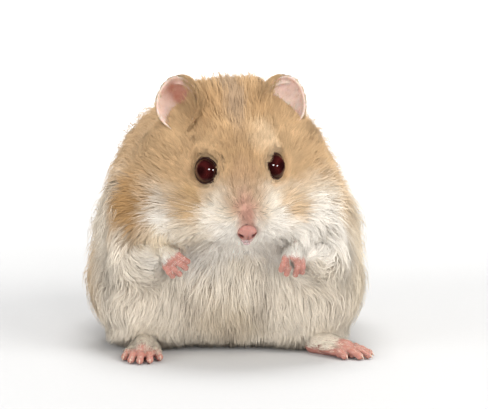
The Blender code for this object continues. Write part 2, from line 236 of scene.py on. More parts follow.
BODY_MIDDLE = (0, 0, 25)
ROOM_LIGHT = 0.55
LAMPS = (  # name, place, what it is aimed at, size, power in watts
    ("soft_lamp", (500, -310, 500), BODY_MIDDLE, 420, 3.0, (1.0, 0.985, 0.955)),
    ("top_lamp", (0, 190, 745), BODY_MIDDLE, 460, 4.4),
    ("fill_lamp", (-540, -340, 170), BODY_MIDDLE, 400, 2.0),
    ("backdrop_lamp", (0, 330, 520), (0, 820, 260), 300, 6.0),
    ("eye_spark", (110, -600, 240), BODY_MIDDLE, 110, 0.75),
    ("eye_spark_side", (390, -520, 160), BODY_MIDDLE, 100, 0.65),
)
for lamp in LAMPS:
    add_lamp(*lamp).visible_glossy = lamp[0].startswith("eye_spark")
world = bpy.data.worlds.new("white_room")
bpy.context.scene.world = world
world.use_nodes = True
surroundings = world.node_tree.nodes["Background"]
surroundings.inputs["Color"].default_value = (1, 1, 1, 1)
surroundings.inputs["Strength"].default_value = ROOM_LIGHT
world.cycles_visibility.glossy = False
bpy.context.scene.view_settings.view_transform = "Standard"
print("camera", [round(v, 3) for v in camera.location])

# %% [markdown]
# ## Where things are
# Everything on the head is placed from the head's own axes, so that it turns with the head. The
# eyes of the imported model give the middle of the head; its turn and its slight tilt are two
# angles. The pose's origin, from which the limbs were laid out, follows from it.

# %% Head axes
HEAD_YAW = math.radians(8.5)
HEAD_ROLL = math.radians(-2.5)
EYE_SEAT = np.array([5.4, -11.3, 0.9])  # the left eye, on the head
HEAD_IN_POSE = np.array([0.6, -13.0, 35.0])


def box_of(node):
    """Lowest corner, highest corner and middle of a solid, in millimetres."""
    low, high = (np.array(corner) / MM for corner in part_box(node))
    return low, high, (low + high) / 2


eye_seats = {side: box_of("eye_" + side)[2] for side in SIDES}
low, high, _ = box_of("eye_left")
EYE_RADIUS = (high[2] - low[2]) / 2
head_turn = np.array(Euler((0, HEAD_ROLL, HEAD_YAW)).to_matrix())
between_eyes = (eye_seats["left"] + eye_seats["right"]) / 2
head_centre = between_eyes - head_turn @ (EYE_SEAT * (0, 1, 1))
pose_origin = head_centre - HEAD_IN_POSE


def head_point(x, y, z):
    return head_centre + head_turn @ np.array([x, y, z], float)


def to_head(points):
    """The same places, in the head's own axes."""
    return (points - head_centre) @ head_turn


nose_centre = box_of("nose")[2]
print("eye radius", round(EYE_RADIUS, 2), "nose at", nose_centre.round(1))


# %% Helpers for meshes
def unit(vectors):
    return vectors / np.maximum(np.linalg.norm(vectors, axis=-1, keepdims=True), 1e-9)


def lay_flat(directions, normals):
    """The directions, turned to run along the surface."""
    return unit(directions - normals * (directions * normals).sum(1, keepdims=True))


def smoothstep(low, high, values):
    t = np.clip((values - low) / (high - low), 0, 1)
    return t * t * (3 - 2 * t)


def new_mesh(name, points, faces):
    """A mesh of points in millimetres, and faces that all have the same number of corners."""
    mesh = bpy.data.meshes.new(name)
    mesh.vertices.add(len(points))
    mesh.vertices.foreach_set("co", (points * MM).astype(np.float32).ravel())
    mesh.loops.add(faces.size)
    mesh.loops.foreach_set("vertex_index", faces.astype(np.int32).ravel())
    mesh.polygons.add(len(faces))
    starts = np.arange(0, faces.size, faces.shape[1], dtype=np.int32)
    mesh.polygons.foreach_set("loop_start", starts)
    mesh.update(calc_edges=True)
    mesh.shade_smooth()
    return mesh


def new_piece(name, mesh, paint=None):
    piece = add_object(name, mesh)
    if paint:
        mesh.materials.append(paint)
    return piece


def apply_modifiers(piece):
    bpy.context.view_layer.update()
    graph = bpy.context.evaluated_depsgraph_get()
    mesh = bpy.data.meshes.new_from_object(piece.evaluated_get(graph))
    piece.modifiers.clear()
    piece.data = mesh
    return piece


def remesh(piece, voxel, smoothing, paint=None):
    """Overlapping shapes become one closed surface, and its steps are smoothed away."""
    fuse = piece.modifiers.new("fuse", "REMESH")
    fuse.mode = "VOXEL"
    fuse.voxel_size = voxel * MM
    soften = piece.modifiers.new("soften", "SMOOTH")
    soften.factor = 0.5
    soften.iterations = smoothing
    apply_modifiers(piece)
    piece.data.shade_smooth()
    if paint:
        piece.data.materials.clear()
        piece.data.materials.append(paint)
    return piece


def read_mesh(mesh):
    """Points in millimetres, and triangles."""
    points = np.empty(len(mesh.vertices) * 3, np.float32)
    mesh.vertices.foreach_get("co", points)
    mesh.calc_loop_triangles()
    triangles = np.empty(len(mesh.loop_triangles) * 3, np.int32)
    mesh.loop_triangles.foreach_get("vertices", triangles)
    return points.reshape(-1, 3).astype(float) / MM, triangles.reshape(-1, 3)


def sum_at(indices, values, count):
    """Adds up rows of values that share an index."""
    return np.stack([np.bincount(indices, values[:, k], count) for k in range(values.shape[1])], 1)


def normals_of(points, triangles):
    a, b, c = (points[triangles[:, k]] for k in range(3))
    flat = np.cross(b - a, c - a)
    return unit(sum(sum_at(triangles[:, k], flat, len(points)) for k in range(3)))


def full_turn(steps):
    return np.linspace(0, 2 * math.pi, steps, endpoint=False)


def cover_rings(rings, columns):
    """Triangles over rows of points, one row after another. One more point closes each end."""
    index = np.arange(rings * columns).reshape(rings, columns)
    after = np.roll(index, -1, 1)
    quads = np.stack([index[:-1], index[1:], after[1:], after[:-1]], -1).reshape(-1, 4)
    first, last = index.size, index.size + 1
    caps = [(first, a, b) for a, b in zip(index[0], after[0])]
    caps += [(last, b, a) for a, b in zip(index[-1], after[-1])]
    return np.concatenate([quads[:, [0, 1, 2]], quads[:, [0, 2, 3]], np.array(caps)])


def tree_of(points):
    """Finds the nearest of these points."""
    tree = KDTree(len(points))
    for index, point in enumerate(points):
        tree.insert(point, index)
    tree.balance()
    return tree


class Neighbours:
    """The mean of each point's neighbours, for smoothing places and fields over a surface."""

    def __init__(self, triangles, count):
        pairs = np.concatenate([triangles[:, [0, 1]], triangles[:, [1, 2]], triangles[:, [2, 0]]])
        pairs = np.unique(np.sort(pairs, axis=1), axis=0)
        self.ends = np.concatenate([pairs, pairs[:, ::-1]])
        self.count = count
        self.number = np.maximum(np.bincount(self.ends[:, 0], minlength=count), 1)[:, None]

    def mean(self, values):
        return sum_at(self.ends[:, 0], values[self.ends[:, 1]], self.count) / self.number


# %% [markdown]
# ## The lie of the coat
# A coat differs from place to place: half a millimetre on the nose, nearly a centimetre on the
# rump. It could be painted on, but a short list of landmarks does it too: each has the length of
# its hair, the depth that the hair makes, and the width of a tuft. Between landmarks the values
# are mixed by distance. Hair on a head points away from the nose, and on a body back and down.

# %% Landmarks of the coat
HEAD_COAT = (  # x, y, z on the head; length, depth and tuft width in millimetres
    (0, -18.0, -9.0, 0.6, 0.18, 0.07),  # tip of the nose
    (0, -17.9, -5.8, 0.9, 0.28, 0.09),  # top of the snout
    (0, -16.3, -2.3, 1.5, 0.5, 0.10),  # bridge
    (0, -14.2, 3.0, 2.2, 0.8, 0.12),  # between the brows
    (0, -9.0, 10.2, 3.2, 1.2, 0.15),  # forehead
    (0, -1.5, 15.2, 4.4, 1.9, 0.19),  # crown
    (3.0, -17.0, -10.8, 1.3, 0.35, 0.09),  # lip
    (5.5, -16.0, -8.5, 2.0, 0.6, 0.11),  # whisker pad
    (0.0, -14.6, -13.2, 2.2, 0.8, 0.13),  # chin
    (5.8, -12.8, 4.4, 1.4, 0.40, 0.09),  # above the eye
    (8.6, -10.8, 1.2, 1.4, 0.40, 0.09),  # behind the eye
    (5.6, -14.0, -2.4, 1.4, 0.45, 0.09),  # below the eye
    (3.0, -14.2, 1.0, 1.3, 0.45, 0.09),  # in front of the eye
    (9.5, -13.5, -6.5, 3.2, 1.2, 0.14),  # front of the cheek
    (17.5, -6.0, -6.0, 5.5, 2.3, 0.20),  # cheek
    (15.8, -5.5, 2.7, 4.2, 1.8, 0.18),  # temple
    (9.0, -8.5, 7.0, 3.0, 1.1, 0.15),  # brow, below the ear
    (11.8, -2.0, 9.0, 2.6, 0.9, 0.14),  # root of the ear
    (11.2, -5.8, 9.4, 1.2, 0.35, 0.10),  # in front of the ear
    (7.0, -3.5, 13.2, 4.6, 2.2, 0.16),  # crown, beside the ear
    (8.0, -12.0, -14.0, 4.6, 1.7, 0.16),  # jaw
)
BODY_COAT = (  # x, y, z in the pose
    (0, 4, 47, 5.5, 2.6, 0.20),  # nape
    (0, 16, 43, 6.8, 3.2, 0.24),  # back
    (17, 10, 38, 6.8, 3.2, 0.24),  # shoulder blade
    (0, 30, 24, 6.8, 3.2, 0.25),  # rump
    (10, 28, 8, 5.5, 2.2, 0.25),  # buttock
    (21, -9, 30, 5.4, 2.4, 0.20),  # shoulder
    (25, -4, 30, 5.0, 2.2, 0.20),  # behind the shoulder
    (25, 3, 20, 6.8, 3.2, 0.23),  # flank
    (22, 16, 12, 6.2, 2.8, 0.25),  # hip
    (8, -20, 25, 5.0, 2.4, 0.18),  # chest
    (0, -22, 16, 5.2, 2.6, 0.18),  # belly
    (8, -22, 9, 5.0, 2.4, 0.18),  # low belly
    (19, -16, 13, 5.4, 2.6, 0.19),  # thigh
    (16, -19, 4, 2.8, 1.0, 0.16),  # above the foot
    (0, 0, 0, 2.5, 1.0, 0.24),  # underneath
    (12, -24.8, 21.0, 2.6, 0.9, 0.13),  # wrist
    (17, -19, 17, 3.6, 1.6, 0.18),  # elbow
    (0.8, 28, 3.8, 2.2, 0.8, 0.16),  # tail
)


def mirrored(rows):
    """Adds the other side's landmark to each one that isn't on the middle line."""
    others = [(-row[0], *row[1:]) for row in rows if abs(row[0]) > 1]
    return np.array([*rows, *others], float)


head_rows, body_rows = mirrored(HEAD_COAT), mirrored(BODY_COAT)
coat_places = np.concatenate([head_rows[:, :3] @ head_turn.T + head_centre, body_rows[:, :3] + pose_origin])
coat_values = np.concatenate([head_rows[:, 3:], body_rows[:, 3:]])
NEARNESS = 2.2  # how much a near landmark counts for more than a far one


def coat_size(points):
    """Length, depth and tuft width at each point, mixed from the nearest landmarks."""
    away = ((points[:, None, :] - coat_places[None]) ** 2).sum(2) + 1.0
    share = away**-NEARNESS
    return np.exp((share @ np.log(coat_values)) / share.sum(1, keepdims=True)).T


print("landmarks of the coat:", len(coat_places))

# %% [markdown]
# ## One skin
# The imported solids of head, neck, trunk, legs and tail have thin gaps between them. A voxel remesh
# welds them into one closed surface once each has grown by more than half a gap. That surface is
# the outline of the fur, so it then sinks inwards by the depth of the coat. It sinks in small
# steps with a little smoothing between them, because one large step would fold it.

# %% Weld the flesh
FLESH = ("head", "neck", "trunk", "tail") + tuple(
    part + "_" + side for part in ("foreleg", "hindleg") for side in SIDES
)
GROW = 0.24
SKIN_VOXEL, SKIN_SMOOTHING = 0.5, 10
LOOSE_SKIN = (  # middle in the pose, and radius: skin between forearm, cheek and chest
    (14.6, -20.0, 24.4, 3.9),
    (-14.2, -20.2, 24.0, 3.9),
    (9.8, -21.6, 23.0, 3.4),
    (-9.6, -21.6, 22.6, 3.4),
    (12.4, -23.6, 22.6, 2.9),
    (-12.4, -23.6, 22.0, 2.9),
    (18.0, -16.5, 21.5, 4.6),
    (-18.0, -16.5, 21.0, 4.6),
)
bm = bmesh.new()
for x, y, z, radius in LOOSE_SKIN:
    place = Matrix.Translation(Vector(pose_origin + (x, y, z)) * MM)
    bmesh.ops.create_icosphere(bm, subdivisions=3, radius=radius * MM, matrix=place)
for name in FLESH:
    start = len(bm.verts)
    bm.from_mesh(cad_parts[name].data)
    bm.verts.ensure_lookup_table()
    own = bm.verts[start:]
    bmesh.ops.recalc_face_normals(bm, faces=list({face for vert in own for face in vert.link_faces}))
    bm.normal_update()
    for vert in own:
        vert.co += vert.normal * GROW * MM
mesh = bpy.data.meshes.new("skin")
bm.to_mesh(mesh)
bm.free()
skin = remesh(new_piece("skin", mesh), SKIN_VOXEL, SKIN_SMOOTHING)
outline_points, skin_triangles = read_mesh(skin.data)
print("skin points:", len(outline_points))

# %% Let the forearms sink into the chest
FORELEG = {  # shoulder, elbow, forearm and wrist, in the pose
    "left": ((15.0, -10.0, 22.0), (18.4, -17.6, 16.4), (15.6, -21.6, 18.8), (12.3, -24.8, 21.2)),
    "right": ((-15.0, -10.0, 21.4), (-18.2, -18.0, 15.4), (-15.2, -21.8, 17.8), (-11.6, -24.8, 20.5)),
}
HAND_AIM = {  # where the relaxed hand points, and how far it is turned about that line
    "left": ((-0.12, -0.35, -1.0), -8),
    "right": ((0.72, -0.30, -0.80), 14),
}
skin_neighbours = Neighbours(skin_triangles, len(outline_points))


def distance_to_line(points, start, end):
    along = end - start
    share = np.clip((points - start) @ along / (along @ along), 0, 1)
    return np.linalg.norm(points - start - share[:, None] * along, axis=1)


def distance_to_path(points, stops):
    return np.min([distance_to_line(points, a, b) for a, b in zip(stops, stops[1:])], axis=0)


arm_paths = [pose_origin + np.array(path) for path in FORELEG.values()]
upper_away = np.min([distance_to_path(outline_points, stops[:2]) for stops in arm_paths], axis=0)
whole_away = np.min([distance_to_path(outline_points, stops) for stops in arm_paths], axis=0)
for away, reach, passes in ((upper_away, 8.0, 22), (whole_away, 7.0, 9)):
    soft = 0.6 * smoothstep(reach, 4.5, away)[:, None]
    for _ in range(passes):
        outline_points += soft * (skin_neighbours.mean(outline_points) - outline_points)

# %% Sink it below the coat
SINK_STEPS, SINK_SMOOTHING = 10, 0.35
FLOOR_CLEARANCE = 0.5
_, sink_depth, _ = coat_size(outline_points)
sink_depth = (sink_depth + GROW)[:, None]
skin_points = outline_points.copy()
for _ in range(SINK_STEPS):
    skin_points -= normals_of(skin_points, skin_triangles) * sink_depth / SINK_STEPS
    skin_points += SINK_SMOOTHING * (skin_neighbours.mean(skin_points) - skin_points)
skin_points[:, 2] = np.maximum(skin_points[:, 2], FLOOR_CLEARANCE)
print("skin box, mm:", skin_points.min(0).round(1), skin_points.max(0).round(1))

# %% Sockets and brows of the eyes
EYE_LOOKS_OUT = math.radians(44)
EYE_LOOKS_UP = math.radians(6)
LID_ANGLE = math.radians(67)  # from the middle of the eye to the rim of the lids
LID_BULGE = 0.14
RIM_RADIUS = (EYE_RADIUS + LID_BULGE) * math.sin(LID_ANGLE)
RIM_HEIGHT = (EYE_RADIUS + LID_BULGE) * math.cos(LID_ANGLE)
SOCKET_RADIUS = 5.4
SOCKET_BACK = -1.6  # skin further back than this on the eye's line is left alone
SOCKET_FLOOR = -0.6
EYE_FORWARD = 0.6  # the balls stand this far out of their seats


def eye_axes(side):
    """Columns: along the eye's slit, across it, and out of the eye."""
    out = EYE_LOOKS_OUT * SIDES[side]
    ahead = np.array([math.sin(out), -math.cos(out), math.tan(EYE_LOOKS_UP)])
    ahead = unit(head_turn @ ahead)
    slit = unit(np.cross(head_turn @ np.array([0, 0, 1.0]), ahead))
    return np.stack([slit, np.cross(ahead, slit), ahead], 1)


eye_centres = {side: seat + eye_axes(side)[:, 2] * EYE_FORWARD for side, seat in eye_seats.items()}


def from_axis(points, side):
    """Distance of each point from the line that the eye looks along, and its height on that line."""
    local = (points - eye_centres[side]) @ eye_axes(side)
    return np.hypot(local[:, 0], local[:, 1]), local[:, 2]


def seat_around_eyes(points):
    """A shallow funnel that ends on the ball at the rim of the lids, and goes on down inside it."""
    points = points.copy()
    for side in SIDES:
        across, height = from_axis(points, side)
        far = smoothstep(RIM_RADIUS, SOCKET_RADIUS, across)
        wanted = RIM_HEIGHT + (height - RIM_HEIGHT) * far
        inside = across < RIM_RADIUS
        wanted[inside] = np.maximum(RIM_HEIGHT - 2.2 * (RIM_RADIUS - across[inside]), SOCKET_FLOOR)
        moved = (across < SOCKET_RADIUS) & (height > SOCKET_BACK)
        points[moved] += eye_axes(side)[:, 2] * (wanted - height)[moved, None]
    return points


# %% Folds of the skin
FOLDS = (  # axes, line, width and depth; the skin is pressed in along each line
    ("head", ((-11.8, -5.3, 8.4), (-10.2, -8.0, 6.2), (-8.9, -9.8, 4.4)), 0.9, 0.9),  # ear to eye
    ("head", ((11.8, -5.3, 8.4), (10.2, -8.0, 6.2), (8.9, -9.8, 4.4)), 0.9, 0.3),
    ("head", ((-12.6, -4.2, 10.9), (-10.0, -6.0, 9.6), (-7.8, -5.0, 12.0)), 2.0, 2.5),  # in front of the ears
    ("head", ((12.9, -4.0, 10.3), (10.2, -6.0, 9.0), (8.4, -5.0, 11.2)), 2.0, 2.0),
    ("head", ((-18.5, -6.0, -2.4), (-13.2, -11.8, -4.6), (-9.8, -13.3, -6.2)), 1.1, 0.8),  # cheek
    ("head", ((-15.5, -8, -12.6), (-9, -12.8, -14.3), (0, -14.4, -14.4)), 1.4, 1.8),  # below the chin
    ("head", ((0, -14.4, -14.4), (9, -12.8, -14.5), (16, -8, -14.0)), 1.4, 1.8),
    ("pose", ((0, -21.0, 10.0), (-0.4, -20, 7), (-0.6, -16, 1.5)), 1.5, 3.2),  # between the haunches
    ("pose", ((-9, -23, 17), (-5.5, -22, 12), (-2, -21, 9)), 1.5, 1.3),  # beside the breast
    ("pose", ((10, -23, 17), (7.5, -22, 12), (2.5, -21, 9)), 1.5, 1.3),
)


def press_folds(points, normals):
    press = np.zeros(len(points))
    for axes, line, width, depth in FOLDS:
        stops = np.array(line, float)
        stops = stops @ head_turn.T + head_centre if axes == "head" else stops + pose_origin
        away = distance_to_path(points, stops)
        press = np.maximum(press, depth * np.exp(-((away / width) ** 2)))
    return points - normals * press[:, None]


skin_points = press_folds(skin_points, normals_of(skin_points, skin_triangles))
open_normals = normals_of(skin_points, skin_triangles)
skin_points = seat_around_eyes(skin_points)
skin_normals = normals_of(skin_points, skin_triangles)


# %% Which way the hair lies
LIE_SMOOTHING = 14
SWIRL_SEED = 40
SWIRL, SWIRL_SCALE = 0.5, 0.28  # how far the coat wanders from a plain lie, and over what distance
seed_set(SWIRL_SEED)  # or else the noise would lie differently on each run


def lie_of_hair(points, normals):
    """Direction along the skin. Away from the nose on the head, back and down on the body."""
    local = to_head(points)
    source = np.array([0, -18.6, -9.6])
    from_nose = unit(local - source)
    droop = 0.55 * smoothstep(2, -10, local[:, 2]) * smoothstep(-17, -8, local[:, 1])
    from_nose[:, 2] -= droop
    on_head = from_nose @ head_turn.T
    x, y, z = (points - pose_origin).T
    front = smoothstep(2, -14, y)
    side = np.clip(x / 20, -1, 1)
    on_body = np.stack(
        [
            side * (0.25 + 0.35 * front),
            1.0 - 1.1 * front,
            -0.45 - 0.55 * front - 0.5 * np.abs(side),
        ],
        1,
    )
    reach = np.linalg.norm((local - (0, -1, -1)) / (19.5, 15.5, 17.5), axis=1)
    head_share = smoothstep(1.18, 0.98, reach)[:, None]
    lie = on_head * head_share + unit(on_body) * (1 - head_share)
    for arm, path in FORELEG.items():
        stops = pose_origin + np.array(path)
        share = 0.6 * smoothstep(5.0, 2.8, distance_to_path(points, stops[2:]))[:, None]
        lie = lie * (1 - share) + unit(stops[3] - stops[2]) * share
        share = 0.9 * smoothstep(4.0, 2.0, np.linalg.norm(points - stops[3], axis=1))[:, None]
        lie = lie * (1 - share) + unit(np.array(HAND_AIM[arm][0])) * share
    swirl = np.array([noise_vector(Vector(point) * SWIRL_SCALE) for point in points])
    lie += SWIRL * (0.35 + 0.65 * front[:, None] * (1 - head_share)) * swirl
    return lay_flat(lie, normals)


skin_lie = lie_of_hair(skin_points, skin_normals)
for _ in range(LIE_SMOOTHING):
    skin_lie = 0.4 * skin_lie + 0.6 * skin_neighbours.mean(skin_lie)
    skin_lie = lay_flat(skin_lie, skin_normals)

# %% [markdown]
# ## Markings
# Skin and coat wear the same markings, so both ask one node group for their colour at a place. The
# group lays soft-edged spots over a cream ground, one after another, like an airbrush. A spot is
# an egg shape in space: its place, its turn and its size come first, then its colour. A few spots
# are painted shade rather than markings: in the crease of a cheek, in the hollows of the belly, and
# in part of the belly's darker tone.

# %% Soft spot
spot_group, entry, leave = new_group(
    "soft_spot",
    [
        ("Place", "Vector", None),
        ("Centre", "Vector", None),
        ("Size", "Vector", None),
        ("Edge", "Float", 0.3),
        ("Strength", "Float", 1.0),
    ],
    [("Mask", "Float")],
)
offset = reckon_vectors(spot_group, "SUBTRACT", entry.outputs["Place"], entry.outputs["Centre"])[0]
scaled = reckon_vectors(spot_group, "DIVIDE", offset, entry.outputs["Size"])[0]
reach = reckon_vectors(spot_group, "LENGTH", scaled)["Value"]
outer = reckon(spot_group, "ADD", entry.outputs["Edge"], 1.0)[0]
inner = reckon(spot_group, "SUBTRACT", 1.0, entry.outputs["Edge"])[0]
fade = add_node(
    spot_group, "ShaderNodeMapRange", {"interpolation_type": "SMOOTHSTEP"}, Value=reach,
    From_Min=outer, From_Max=inner, To_Min=0.0, To_Max=entry.outputs["Strength"],
)
spot_group.links.new(fade.outputs[0], leave.inputs["Mask"])

# %% The animal's markings, and spots of painted shade
WHITE = (0.97, 0.91, 0.82)
CREAM = (0.92, 0.82, 0.68)
SAND = (0.80, 0.66, 0.48)
PALE_FAWN = (0.88, 0.68, 0.46)
FAWN = (0.60, 0.40, 0.22)
DEEP_FAWN = (0.48, 0.30, 0.15)
TAN = (0.50, 0.29, 0.12)
BUFF = (0.66, 0.42, 0.19)
STRAW = (0.93, 0.75, 0.50)
BRIDGE = (0.56, 0.36, 0.21)
# This grey is used only for spots of painted shade in the hollows of the belly.
SHADE_GREY = (0.45, 0.37, 0.29)
SLATE = (0.30, 0.24, 0.20)
PINK = (0.56, 0.30, 0.23)
BOTH, LEFT, RIGHT, MIDDLE = (1, -1), (1,), (-1,), (0,)
MARKS_AND_SHADE = (  # axes, sides, centre, size, edge, strength, colour; laid on in this order
    ("pose", MIDDLE, (0, 12, 43), (29, 29, 20), 0.20, 1.0, FAWN),  # mantle over the back
    ("pose", MIDDLE, (0, 27, 28), (25, 13, 17), 0.25, 0.9, FAWN),  # rump
    ("pose", BOTH, (25, 2, 17), (5, 9, 9), 0.40, 0.8, TAN),  # flank between the pale arches
    ("pose", RIGHT, (26, -9, 17), (4.5, 7, 9), 0.45, 0.7, BUFF),
    ("pose", LEFT, (25, -8, 22), (5, 9, 13), 0.50, 0.5, STRAW),
    ("pose", MIDDLE, (0, 13, 47), (1.6, 26, 9), 0.55, 0.65, SLATE),  # stripe down the back
    # The next spot warms the middle of the belly, and also darkens it as painted shade, as if the lower belly
    # lay in shade.
    ("pose", MIDDLE, (0, -20, 7.5), (6, 8, 7.0), 0.60, 0.7, SAND),  # middle of the belly
    # The next two grey spots are painted shade: in the groove between the haunches, and in the hollows beside
    # the breast under the hands.
    ("pose", MIDDLE, (-0.4, -17, 3.5), (2.2, 6, 5), 0.60, 0.6, SHADE_GREY),  # between the haunches
    ("pose", BOTH, (6.4, -22, 12.0), (2.7, 3.5, 4.4), 0.60, 0.9, SHADE_GREY),  # beside the breast
    ("head", MIDDLE, (0, 0, 6), (24, 21, 13), 0.18, 1.0, FAWN),  # cap
    ("head", BOTH, (5.2, -7, 10.5), (4.6, 5, 4.5), 0.60, 1.0, DEEP_FAWN),  # forehead
    ("head", MIDDLE, (0, -13.5, 2.8), (4.2, 4, 5.0), 0.50, 0.6, DEEP_FAWN),  # between the eyes
    ("head", LEFT, (5.4, -12.0, 6.0), (3.2, 3.5, 3.2), 0.50, 0.45, PALE_FAWN),  # brow
    ("head", MIDDLE, (0.3, -5, 12.5), (1.5, 9, 8), 0.60, 0.45, SLATE),  # stripe on the forehead
    ("head", BOTH, (11.5, -11.5, -11.5), (10, 8.5, 6), 0.30, 1.0, WHITE),  # lower cheek
    ("head", MIDDLE, (0, -16, -12), (8.5, 6, 5), 0.25, 1.0, WHITE),  # lips and chin
    ("head", RIGHT, (9.0, -14, -9.8), (4, 4, 3), 0.50, 0.6, SAND),
    ("head", RIGHT, (15.0, -8, -11), (4, 4, 3.2), 0.50, 0.7, STRAW),
    ("head", MIDDLE, (0, -16.5, -3), (3.2, 4, 5.5), 0.45, 0.8, BRIDGE),  # bridge of the nose
    ("head", RIGHT, (18.8, -5.5, -5.4), (5.0, 7.5, 5.2), 0.40, 1.0, TAN),  # back of the cheek
    ("head", LEFT, (19.5, -3, -4), (5, 8, 6), 0.45, 0.6, BUFF),
    ("head", RIGHT, (9.2, -13.3, -4.9), (2.8, 3.5, 3.6), 0.50, 0.9, BUFF),  # cheek patch
    ("head", LEFT, (8.5, -14.1, -6.4), (2.3, 3.5, 2.8), 0.50, 0.75, BUFF),
    # The next spot is painted shade along the crease of the cheek.
    ("head", RIGHT, (11.6, -12.5, -5.0), (3.8, 3.0, 1.9), 0.55, 0.35, SLATE),  # smudge on the cheek
    ("head", MIDDLE, (0, -18.2, -6.8), (1.5, 2.6, 3.6), 0.60, 0.95, PINK),  # bare skin round the nose
)
marks_and_shade_group, entry, leave = new_group("markings_and_shade", [("Place", "Vector", None)], [("Colour", "Color")])
DRIFT = 2.0  # how far the edges of the marks wander either way, in millimetres
in_mm = scaled_by(marks_and_shade_group, entry.outputs["Place"], 1 / MM)
drift = noise_in(marks_and_shade_group, in_mm, 0.35, 3.0)["Color"]
drift_mm = reckon_vectors(
    marks_and_shade_group, "MULTIPLY_ADD", drift, (2 * DRIFT,) * 3, (-DRIFT,) * 3
)
ragged = reckon_vectors(marks_and_shade_group, "ADD", in_mm, drift_mm[0])[0]
in_axes = {}
for axes, middle, turn in (
    ("pose", pose_origin, (0, 0, 0)),
    ("head", head_centre, (0, HEAD_ROLL, HEAD_YAW)),
):
    mapping = add_node(
        marks_and_shade_group, "ShaderNodeMapping", {"vector_type": "TEXTURE"},
        Vector=ragged, Location=tuple(middle), Rotation=turn,
    )
    in_axes[axes] = mapping.outputs[0]
ground = add_node(marks_and_shade_group, "ShaderNodeRGB")
ground.outputs[0].default_value = (*CREAM, 1)
colour = ground.outputs[0]
for axes, sides, centre, size, edge, strength, tint in MARKS_AND_SHADE:
    for side in sides:
        spot = use_group(
            marks_and_shade_group, spot_group, Place=in_axes[axes], Size=size, Edge=edge, Strength=strength,
            Centre=((side or 1) * centre[0], *centre[1:]),
        )
        colour = mix_colours(marks_and_shade_group, spot.outputs[0], colour, (*tint, 1))
marks_and_shade_group.links.new(colour, leave.inputs["Colour"])
print("marks laid on:", sum(len(row[1]) for row in MARKS_AND_SHADE))

# %% Materials of skin and coat
skin_paint, tree, surface = new_material("skin_paint", 0.75, 0.2)
place = place_in(tree)
own = use_group(tree, marks_and_shade_group, Place=place).outputs[0]
grain = noise_in(tree, place, 2500.0, 4.0)["Fac"]
shade = add_node(tree, "ShaderNodeMapRange", Value=grain, To_Min=0.72, To_Max=1.0)
dim = scaled_by(tree, own, shade.outputs[0])
bump = add_node(tree, "ShaderNodeBump", Height=grain, Strength=0.4, Distance=0.0002)
tree.links.new(dim, surface.inputs["Base Color"])
tree.links.new(bump.outputs[0], surface.inputs["Normal"])

coat_paint, tree, surface = new_material("coat_paint", 0.62, 0.25)
surface.inputs["Sheen Weight"].default_value = 0.2
surface.inputs["Sheen Tint"].default_value = (1.0, 0.86, 0.68, 1)
surface.inputs["Sheen Roughness"].default_value = 0.5
own = use_group(tree, marks_and_shade_group, Place=value_in(tree, "root_place", "Vector")).outputs[0]
under = mix_colours(tree, 1.0, own, (0.76, 0.70, 0.64, 1), "MULTIPLY")
rise = add_node(
    tree, "ShaderNodeMapRange", {"interpolation_type": "SMOOTHSTEP"},
    Value=value_in(tree, "along"), From_Min=0.05, From_Max=0.65,
)
blend = mix_colours(tree, rise.outputs[0], under, own)
toned = scaled_by(tree, blend, value_in(tree, "tone"))
tree.links.new(toned, surface.inputs["Base Color"])

mesh = new_mesh("skin_body", skin_points, skin_triangles)
skin = new_piece("skin_of_the_body", mesh, skin_paint)
bpy.data.objects.remove(bpy.data.objects["skin"])
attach(skin, "root")
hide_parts(*FLESH)

# %% [markdown]
# ## The coat
# Real fur is far too many hairs to model one by one, and strands are lost when a model is
# exported. So each piece of geometry is a tuft: a thin three-sided blade that stands for a few
# hairs, wide in the middle and pointed at the tip. Each one starts just under the skin, walks over
# it along the lie of the hair, and lifts to the outline. Neighbours lean together into locks. The
# coat is split by region, so that no piece grows too heavy to handle.

# %% A surface that hair grows on
COAT_SEED = 11
TUFT_POINTS = 5
ROOT_DEPTH = 0.12  # how far below the skin a tuft starts
rng = np.random.default_rng(COAT_SEED)


